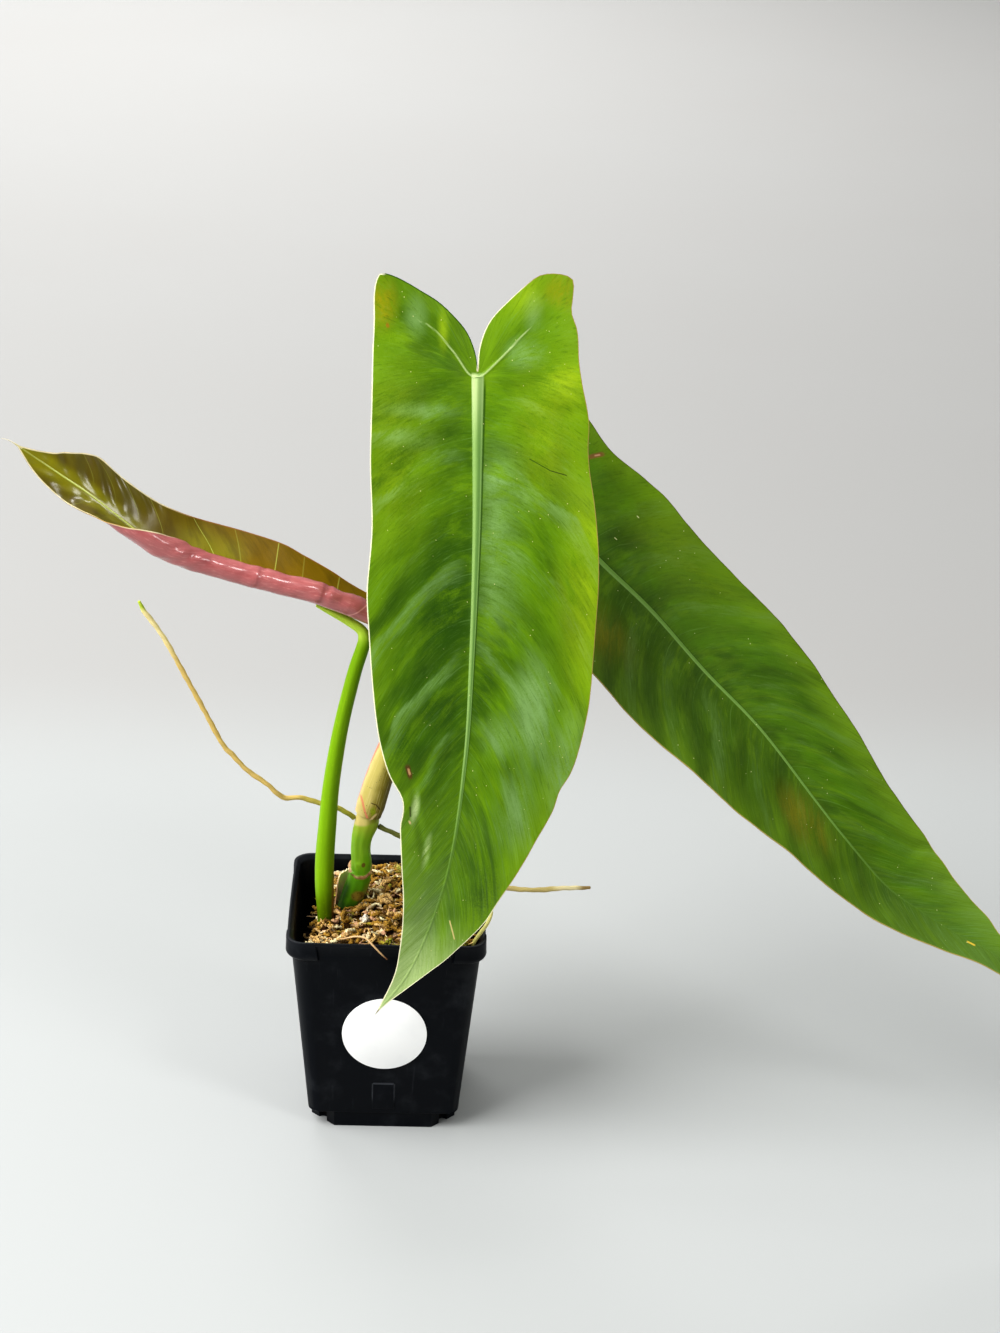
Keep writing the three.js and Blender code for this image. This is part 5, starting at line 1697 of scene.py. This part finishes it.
def stem_relief(angle, distance, centres):
    """Ring at the lower node, ridges along the stem and small lumps."""
    x, y, z = [centres[..., i] for i in range(3)]
    front = y + 5 * np.cos(angle)
    past = z - NODE.slant * front - NODE.z + 0.5 * np.sin(7 * angle) * np.sin(3 * angle + 1)
    ragged = 0.7 + 0.3 * np.sin(11 * angle + 2 * np.sin(3 * angle))
    flap = NODE.flap * np.exp(-((np.sin(angle) - 1) ** 2) / 0.3)
    ring = NODE.ring * ragged + flap
    ring = ring * np.exp(-((past / np.where(past > 0, 0.45, 0.8)) ** 2))
    eye_z, eye_rise = NODE.eye
    eye = np.exp(-(((z - eye_z) / 1.5) ** 2) - ((np.cos(angle + 0.25) + 1) / 0.05) ** 2)
    ridges = 0.09 * np.cos(9 * angle + z / 9)
    small = 0.12 * np.sin(z / 2.3 + 2 * angle) * np.cos(z / 5 + angle)
    return ring + eye_rise * eye + ridges + small


def stalk_relief(angle, distance, centres):
    """Faint ridges along a stalk."""
    return 0.05 * np.cos(7 * angle + distance / 30) + 0.06 * np.sin(distance / 6 + angle)


def root_relief(angle, distance, centres):
    """Small waves and knots along a root."""
    return 0.08 * np.sin(distance * 1.1 + angle) + 0.08 * np.sin(distance * 0.43 + 2 * angle + 1)


class PLANT_OT_stem(bpy.types.Operator):
    """Add the climbing stem with its nodes"""

    bl_idname = "plant.stem"
    bl_label = "Stem"

    def execute(self, context):
        add_tubes(stem_relief, [("climbing_stem", "stem", "stem", STEM, 240, 64, stem_skin())])
        return {"FINISHED"}


def scale_skin(name, margin, middle, far, dark, pale, marks=()):
    """
    Papery scale, streaked lengthwise, with a coloured left margin and a darker right, which on the
    fresh sheath is painted shade. Marks on its front list a line in x and z, its half width, colour and
    share.
    """
    shader = material(name)
    run, around, rise = shader.attribute("run")
    streaks = shader.noise(1.0, 4.0, 0.6, at=(run * 0.05, around * 30))
    patches = shader.noise(200.0, 3.0)
    across = around + (patches - 0.5) * 0.16
    shader.base = shader.blend(middle, far, shader.rise(across, 0.45, 0.75))
    shader.coat(dark, shader.rise(across, 0.7, 1.0) * 0.8)
    shader.coat(pale, shader.rise(streaks, 0.5, 0.7) * 0.45)
    shader.coat(pale, shader.fall(across, 0.14, 0.34) * 0.5)
    x, y, z = shader.millimetres()
    flush = shader.fall(across, 0.1, 0.2) * (1 - shader.rise(y, 0, 4) * 0.6)
    hem = shader.fall(rise + (patches - 0.5) * 0.16, 0.0, 0.06) * shader.rise(across, 0.3, 0.6)
    shader.coat(margin, flush)
    shader.coat(dark, hem * 0.3)
    for start, end, half, colour, share in marks:
        mark = shader.streak(x + (patches - 0.5) * 0.8, z, start, end, half) * shader.fall(y, -1, 2)
        shader.coat(colour, mark * share)
    specks = shader.fall(shader.cells(900.0), 0.1, 0.25)
    shader.coat(dark, specks * shader.rise(patches, 0.5, 0.6) * 0.7)
    return shader.close(0.45 + streaks * 0.2, streaks, 0.25, 0.3)


class PLANT_OT_scales(bpy.types.Operator):
    """Add the fresh sheath round the stalks and the old papery scale"""

    bl_idname = "plant.scales"
    bl_label = "Sheaths"

    def execute(self, context):
        fresh = papery_scale("fresh_sheath", SHEATH, 60, 36)
        salmon = srgb(232, 142, 108)
        dark_line = srgb(76, 58, 14)
        marks = [
            ((-14.6, 149), (-12.6, 142), 2.2, srgb(228, 206, 140), 0.7),
            ((-7.7, 148.4), (-7.1, 144.4), 1.7, srgb(156, 172, 16), 0.9),
            ((-13.1, 153), (-9.9, 143), 0.8, salmon, 0.9),
            ((-8.4, 151), (-6, 150), 0.4, dark_line, 0.9),
            ((-6, 150), (-4.4, 147.2), 0.4, dark_line, 0.9),
            (*NODE_FLAP, 0.8, srgb(240, 214, 160), 0.9),
        ]
        skin = scale_skin("fresh_sheath", salmon, srgb(216, 198, 112), srgb(146, 130, 32),
                          srgb(80, 66, 8), srgb(242, 224, 170), marks)
        finish(fresh, "sheath", [skin])
        old = papery_scale("old_scale", OLD_SCALE, 40, 28, ragged=0.12)
        marks = [
            ((-26, 100), (-12, 100), 5, srgb(206, 140, 104), 0.8),
            ((-26, 92), (-12, 92), 5.5, srgb(44, 30, 16), 1.0),
        ]
        skin = scale_skin("old_scale", srgb(206, 150, 128), srgb(240, 224, 180),
                          srgb(236, 210, 160), srgb(222, 178, 140), srgb(248, 240, 214), marks)
        finish(old, "sheath_old", [skin])
        return {"FINISHED"}


class PLANT_OT_stalks(bpy.types.Operator):
    """Add the three leaf stalks"""

    bl_idname = "plant.stalks"
    bl_label = "Leaf stalks"

    def execute(self, context):
        grown = stalk("grown_stalk", [srgb(112, 138, 20), srgb(80, 124, 12), srgb(112, 154, 40)],
                      [(0.05, 0.3), (0.7, 0.95)], srgb(146, 178, 84))
        young = stalk("young_stalk", [srgb(82, 108, 4), srgb(118, 160, 0), srgb(112, 152, 0),
                                      srgb(188, 216, 76)],
                      [(0.06, 0.2), (0.4, 0.8), (0.82, 0.9)], srgb(150, 184, 20),
                      blush=srgb(150, 84, 50))
        add_tubes(stalk_relief, [
            ("front_stalk", "petiole_front", "petiole", FRONT_PETIOLE, 130, 24, grown),
            ("side_stalk", "petiole_side", "petiole", SIDE_PETIOLE, 110, 24, grown),
            ("new_stalk", "petiole_new", "petiole_new", NEW_PETIOLE, 140, 28, young),
        ])
        return {"FINISHED"}


class PLANT_OT_front_leaf(bpy.types.Operator):
    """Add the large leaf that faces forwards"""

    bl_idname = "plant.front_leaf"
    bl_label = "Front leaf"

    def execute(self, context):
        settings = context.scene.plant_leaves
        # Painted light and shade among the tints: the dark green ones are painted shade, the pale
        # bluish-green waxy ones are waxy patches with painted sheen, the sun ones are painted sunlight,
        # and the pale ones at (-19, 188) and (-11, 208) are painted highlights on the dents.
        tints = [
            ((-12, 96), (26, 52), "deep", 1.2), ((-12, 142), (28, 34), "deep", 1.0),
            ((-34, 32), (24, 70), "sun", 0.4), ((30, 20), (24, 50), "sun", 0.6),
            ((48, 88), (20, 70), "sun", 0.8), ((27, 140), (13, 34), "bloom", 1.3),
            ((14, 152), (12, 14), "bloom", 0.9), ((44, 165), (14, 34), "bloom", 1.2),
            ((24, 184), (12, 26), "bloom", 0.9), ((6, 130), (8, 22), "deep", 1.0),
            ((-14.5, -20), (3.5, 14), "sun", 0.7), ((-26, -25), (7, 13), "bloom", 0.75),
            ((-35, -16), (12, 5), "light", 1.0), ((20, -10), (12, 10), "bloom", 1.1),
            ((23, -27), (6, 13), "bloom", 0.7), ((-22, 14), (24, 5), "bloom", 0.7),
            ((-30, 26), (18, 7), "bloom", 0.6), ((20, -36), (16, 16), "sun", 0.6),
            ((38, 2), (15, 12), "sun", 1.0), ((-40, -30), (9, 16), "ripe", 1.0),
            ((37, -36), (11, 11), "ripe", 1.4), ((-28, 160), (16, 16), "deep", 1.2),
            ((10, 205), (16, 24), "deep", 0.5), ((18, 224), (16, 28), "deep", 1.2),
            ((-8, 238), (10, 18), "deep", 0.5), ((4, 266), (9, 16), "pale", 0.8),
            ((-19, 188), (2.6, 11), "pale", 1.2), ((-11, 208), (2.4, 12), "pale", 1.2),
        ]
        blemishes = [
            ((-24.6, 167.6), (-22.4, 174), 1.7, srgb(88, 60, 22), 1.0, 0.5),
            ((-24, 169.2), (-22.8, 172.4), 0.8, srgb(186, 146, 98), 1.0, 0),
            ((-21.2, 187), (-20.4, 192), 0.6, srgb(40, 44, 8), 0.7, 0.6),
            ((-20.8, 194), (-20, 195.5), 0.7, srgb(196, 170, 120), 0.9, 0),
            ((7, 238), (12, 245.5), 0.45, srgb(206, 188, 124), 0.9, -0.3),
            ((22, 34), (31, 39), 0.25, settings.deep, 0.9, 0.8),
            ((31, 39), (38, 41), 0.28, srgb(40, 50, 10), 0.8, 0.8),
            ((-38, -22), (-37.5, -20), 1.1, srgb(156, 84, 20), 0.6, 0),
        ]
        add_leaf("front_leaf", "leaf_front", FRONT_LEAF, settings, front_looks(settings), tints,
                 blemishes, front_dents)
        return {"FINISHED"}


class PLANT_OT_side_leaf(bpy.types.Operator):
    """Add the large darker leaf that reaches to the right"""

    bl_idname = "plant.side_leaf"
    bl_label = "Side leaf"

    def execute(self, context):
        settings = context.scene.plant_leaves
        tints = [
            # The dark green tint at (17, 38) is the front leaf's painted shadow, and the sun tint is
            # painted sunlight.
            ((17, 38), (14, 22), "deep", 1.4), ((-10, 182), (13, 28), "ripe", 0.9),
            ((-26, 52), (18, 36), "ripe", 0.8), ((30, 60), (26, 60), "sun", 1.0),
        ]
        brown = srgb(112, 84, 40)
        pale = srgb(206, 208, 150)
        blemishes = [
            ((31, -1.6), (38.5, 2), 1.7, brown, 1.0, 0.4),
            ((34, -0.2), (36.6, 1.2), 0.6, srgb(190, 146, 116), 0.7, 0),
            ((28, 32), (28, 33.5), 0.35, pale, 0.7, 0), ((13, 32), (13, 33.5), 0.35, pale, 0.7, 0),
            ((-1, 273), (-1, 277), 0.6, srgb(200, 170, 60), 0.9, 0),
        ]
        add_leaf("side_leaf", "leaf_side", SIDE_LEAF, settings, side_looks(), tints, blemishes)
        return {"FINISHED"}


class PLANT_OT_new_leaf(bpy.types.Operator):
    """Add the young leaf, half rolled up"""

    bl_idname = "plant.new_leaf"
    bl_label = "New leaf"

    def execute(self, context):
        looks = context.scene.plant_new_leaf
        thickness = context.scene.plant_leaves.thickness / MM
        piece = leaf_blade("young_leaf", NEW_LEAF, thickness, 0.5, roll_relief)
        edge = leaf_margin("young_leaf_edge", srgb(190, 160, 96), srgb(170, 132, 70))
        finish(piece, "leaf_new", [new_leaf_top(looks), new_leaf_underside(looks), edge])
        pale = stalk("leaf_hair", [srgb(200, 190, 140), srgb(226, 220, 200)], [(0.2, 0.6)],
                     srgb(236, 232, 214), 0.6)
        add_tubes(None, [("leaf_hair", "leaf_new", "leaf_new", LEAF_HAIR, 24, 8, pale)])
        return {"FINISHED"}


class PLANT_OT_roots(bpy.types.Operator):
    """Add the aerial roots and the fine roots at the rim"""

    bl_idname = "plant.roots"
    bl_label = "Roots"

    def execute(self, context):
        left = stalk("left_root", [srgb(150, 150, 54), srgb(198, 170, 98), srgb(226, 210, 150),
                                   srgb(176, 196, 60)],
                     [(0.06, 0.22), (0.75, 0.9), (0.96, 0.985)], srgb(226, 206, 156), 0.6)
        right = stalk("right_root", [srgb(108, 112, 56), srgb(182, 164, 106), srgb(226, 212, 166),
                                     srgb(142, 118, 72)],
                      [(0.1, 0.3), (0.82, 0.9), (0.93, 0.97)], srgb(200, 178, 124), 0.6)
        rim = stalk("rim_root", [srgb(170, 138, 92), srgb(200, 166, 122), srgb(120, 78, 52)],
                    [(0.2, 0.5), (0.88, 1.0)], srgb(190, 154, 116), 0.75)
        pale = stalk("pale_root", [srgb(176, 170, 96), srgb(196, 190, 120)], [(0.2, 0.6)],
                     srgb(216, 206, 150), 0.6)
        add_tubes(root_relief, [
            ("long_left_root", "root_left", "root", LEFT_ROOT, 260, 16, left),
            ("long_right_root", "root_right", "root", RIGHT_ROOT, 200, 16, right),
        ])
        add_tubes(None, [
            ("front_rim_root", "rim_root_front", "rim_root", RIM_ROOT_FRONT, 80, 12, rim),
            ("right_rim_root", "rim_root_right", "root", RIM_ROOT_RIGHT, 70, 12, pale),
        ])
        return {"FINISHED"}


def area_light(name, place, target, size, power, spread=180):
    """Square soft light at a place, turned to a target, in metres."""
    light = bpy.data.lights.new(name, "AREA")
    light.size = size
    light.energy = power
    light.spread = math.radians(spread)
    lamp = bpy.data.objects.new(name, light)
    bpy.context.scene.collection.objects.link(lamp)
    lamp.location = place
    lamp.rotation_euler = (Vector(target) - Vector(place)).to_track_quat("-Z", "Y").to_euler()


def room_light(strength):
    """Even light from above that fades towards the level."""
    room = Shader(bpy.data.worlds.new("room"))
    direction = room.node("ShaderNodeTexCoord", output="Generated")
    up = room.parts(direction)[2]
    power = (0.3 + room.rise(up, 0.15, 0.8) * 0.7) * strength
    sky = room.node("ShaderNodeBackground", {"Color": (1, 1, 0.985, 1), "Strength": power})
    room.node("ShaderNodeOutputWorld", {"Surface": sky})
    return room.owner


CAMERA = SimpleNamespace(
    place=(0.0138, -1.1978, 0.7294), right=(0.9994, -0.0136, 0.033), up=(-0.025, 0.3943, 0.9186),
    lens=80.10, sensor=36,
)
STAGE = SimpleNamespace(half=20, change=(0.3, 0.5))


class PLANT_OT_stage(bpy.types.Operator):
    """Add the pale floor, the light and the camera"""

    bl_idname = "plant.stage"
    bl_label = "Stage"

    def execute(self, context):
        looks = context.scene.plant_stage
        floor = add("floor", bpy.ops.mesh.primitive_plane_add, size=2 * STAGE.half)
        floor.data.materials.append(stage_floor(looks))
        area_light("key", (-1.25, -0.5, 1.45), (0.03, 0, 0.15), 1.7, looks.key_power)
        area_light("wash", (-0.8, 3.2, 2.2), (-0.45, 2.4, 0), 2.4, looks.wash_power, spread=84)
        area_light("fill", (1.6, -1.2, 0.9), (0.05, 0, 0.2), 0.5, looks.fill_power)
        area_light("window", (0.8, -0.8, 1.35), (-0.05, 0, 0.25), 0.3, looks.window_power)
        scene = context.scene
        scene.world = room_light(looks.sky)
        scene.view_settings.view_transform = "Standard"
        scene.view_settings.look = "Medium High Contrast"
        camera = bpy.data.cameras.new("camera")
        camera.lens = CAMERA.lens
        camera.sensor_width = CAMERA.sensor
        camera.clip_start = 0.02
        eye = bpy.data.objects.new("camera", camera)
        scene.collection.objects.link(eye)
        right = Vector(CAMERA.right).normalized()
        up = Vector(CAMERA.up).normalized()
        turned = Matrix((right, up, right.cross(up))).transposed().to_4x4()
        eye.matrix_world = Matrix.Translation(CAMERA.place) @ turned
        scene.camera = eye
        return {"FINISHED"}


class PLANT_PT_sidebar(bpy.types.Panel):
    """Lists the plant's pieces and their settings"""

    bl_idname = "PLANT_PT_sidebar"
    bl_label = "Potted philodendron"
    bl_space_type = "VIEW_3D"
    bl_region_type = "UI"
    bl_category = "Plant"

    def draw(self, context):
        for group in SETTINGS:
            box = self.layout.box()
            settings = getattr(context.scene, group)
            for key in settings.bl_rna.properties.keys():
                if key not in ("rna_type", "name"):
                    box.prop(settings, key)
        for operator in PIECES:
            self.layout.operator(operator.bl_idname)


SETTINGS = {
    "plant_leaves": PLANT_PG_leaves,
    "plant_new_leaf": PLANT_PG_new_leaf,
    "plant_moss": PLANT_PG_moss,
    "plant_pot": PLANT_PG_pot,
    "plant_stage": PLANT_PG_stage,
}
PIECES = [
    PLANT_OT_pot,
    PLANT_OT_label,
    PLANT_OT_moss,
    PLANT_OT_stem,
    PLANT_OT_scales,
    PLANT_OT_stalks,
    PLANT_OT_roots,
    PLANT_OT_new_leaf,
    PLANT_OT_side_leaf,
    PLANT_OT_front_leaf,
    PLANT_OT_stage,
]


def register():
    for kind in (*SETTINGS.values(), *PIECES, PLANT_PT_sidebar):
        bpy.utils.register_class(kind)
    for key, kind in SETTINGS.items():
        setattr(bpy.types.Scene, key, bpy.props.PointerProperty(type=kind))


def unregister():
    for key in SETTINGS:
        delattr(bpy.types.Scene, key)
    for kind in reversed((*SETTINGS.values(), *PIECES, PLANT_PT_sidebar)):
        bpy.utils.unregister_class(kind)


def main():
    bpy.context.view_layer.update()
    register()
    bpy.ops.plant.pot()
    bpy.ops.plant.label()
    bpy.ops.plant.moss()
    bpy.ops.plant.stem()
    bpy.ops.plant.scales()
    bpy.ops.plant.stalks()
    bpy.ops.plant.roots()
    bpy.ops.plant.new_leaf()
    bpy.ops.plant.side_leaf()
    bpy.ops.plant.front_leaf()
    bpy.ops.plant.stage()


if __name__ == "__main__":
    main()
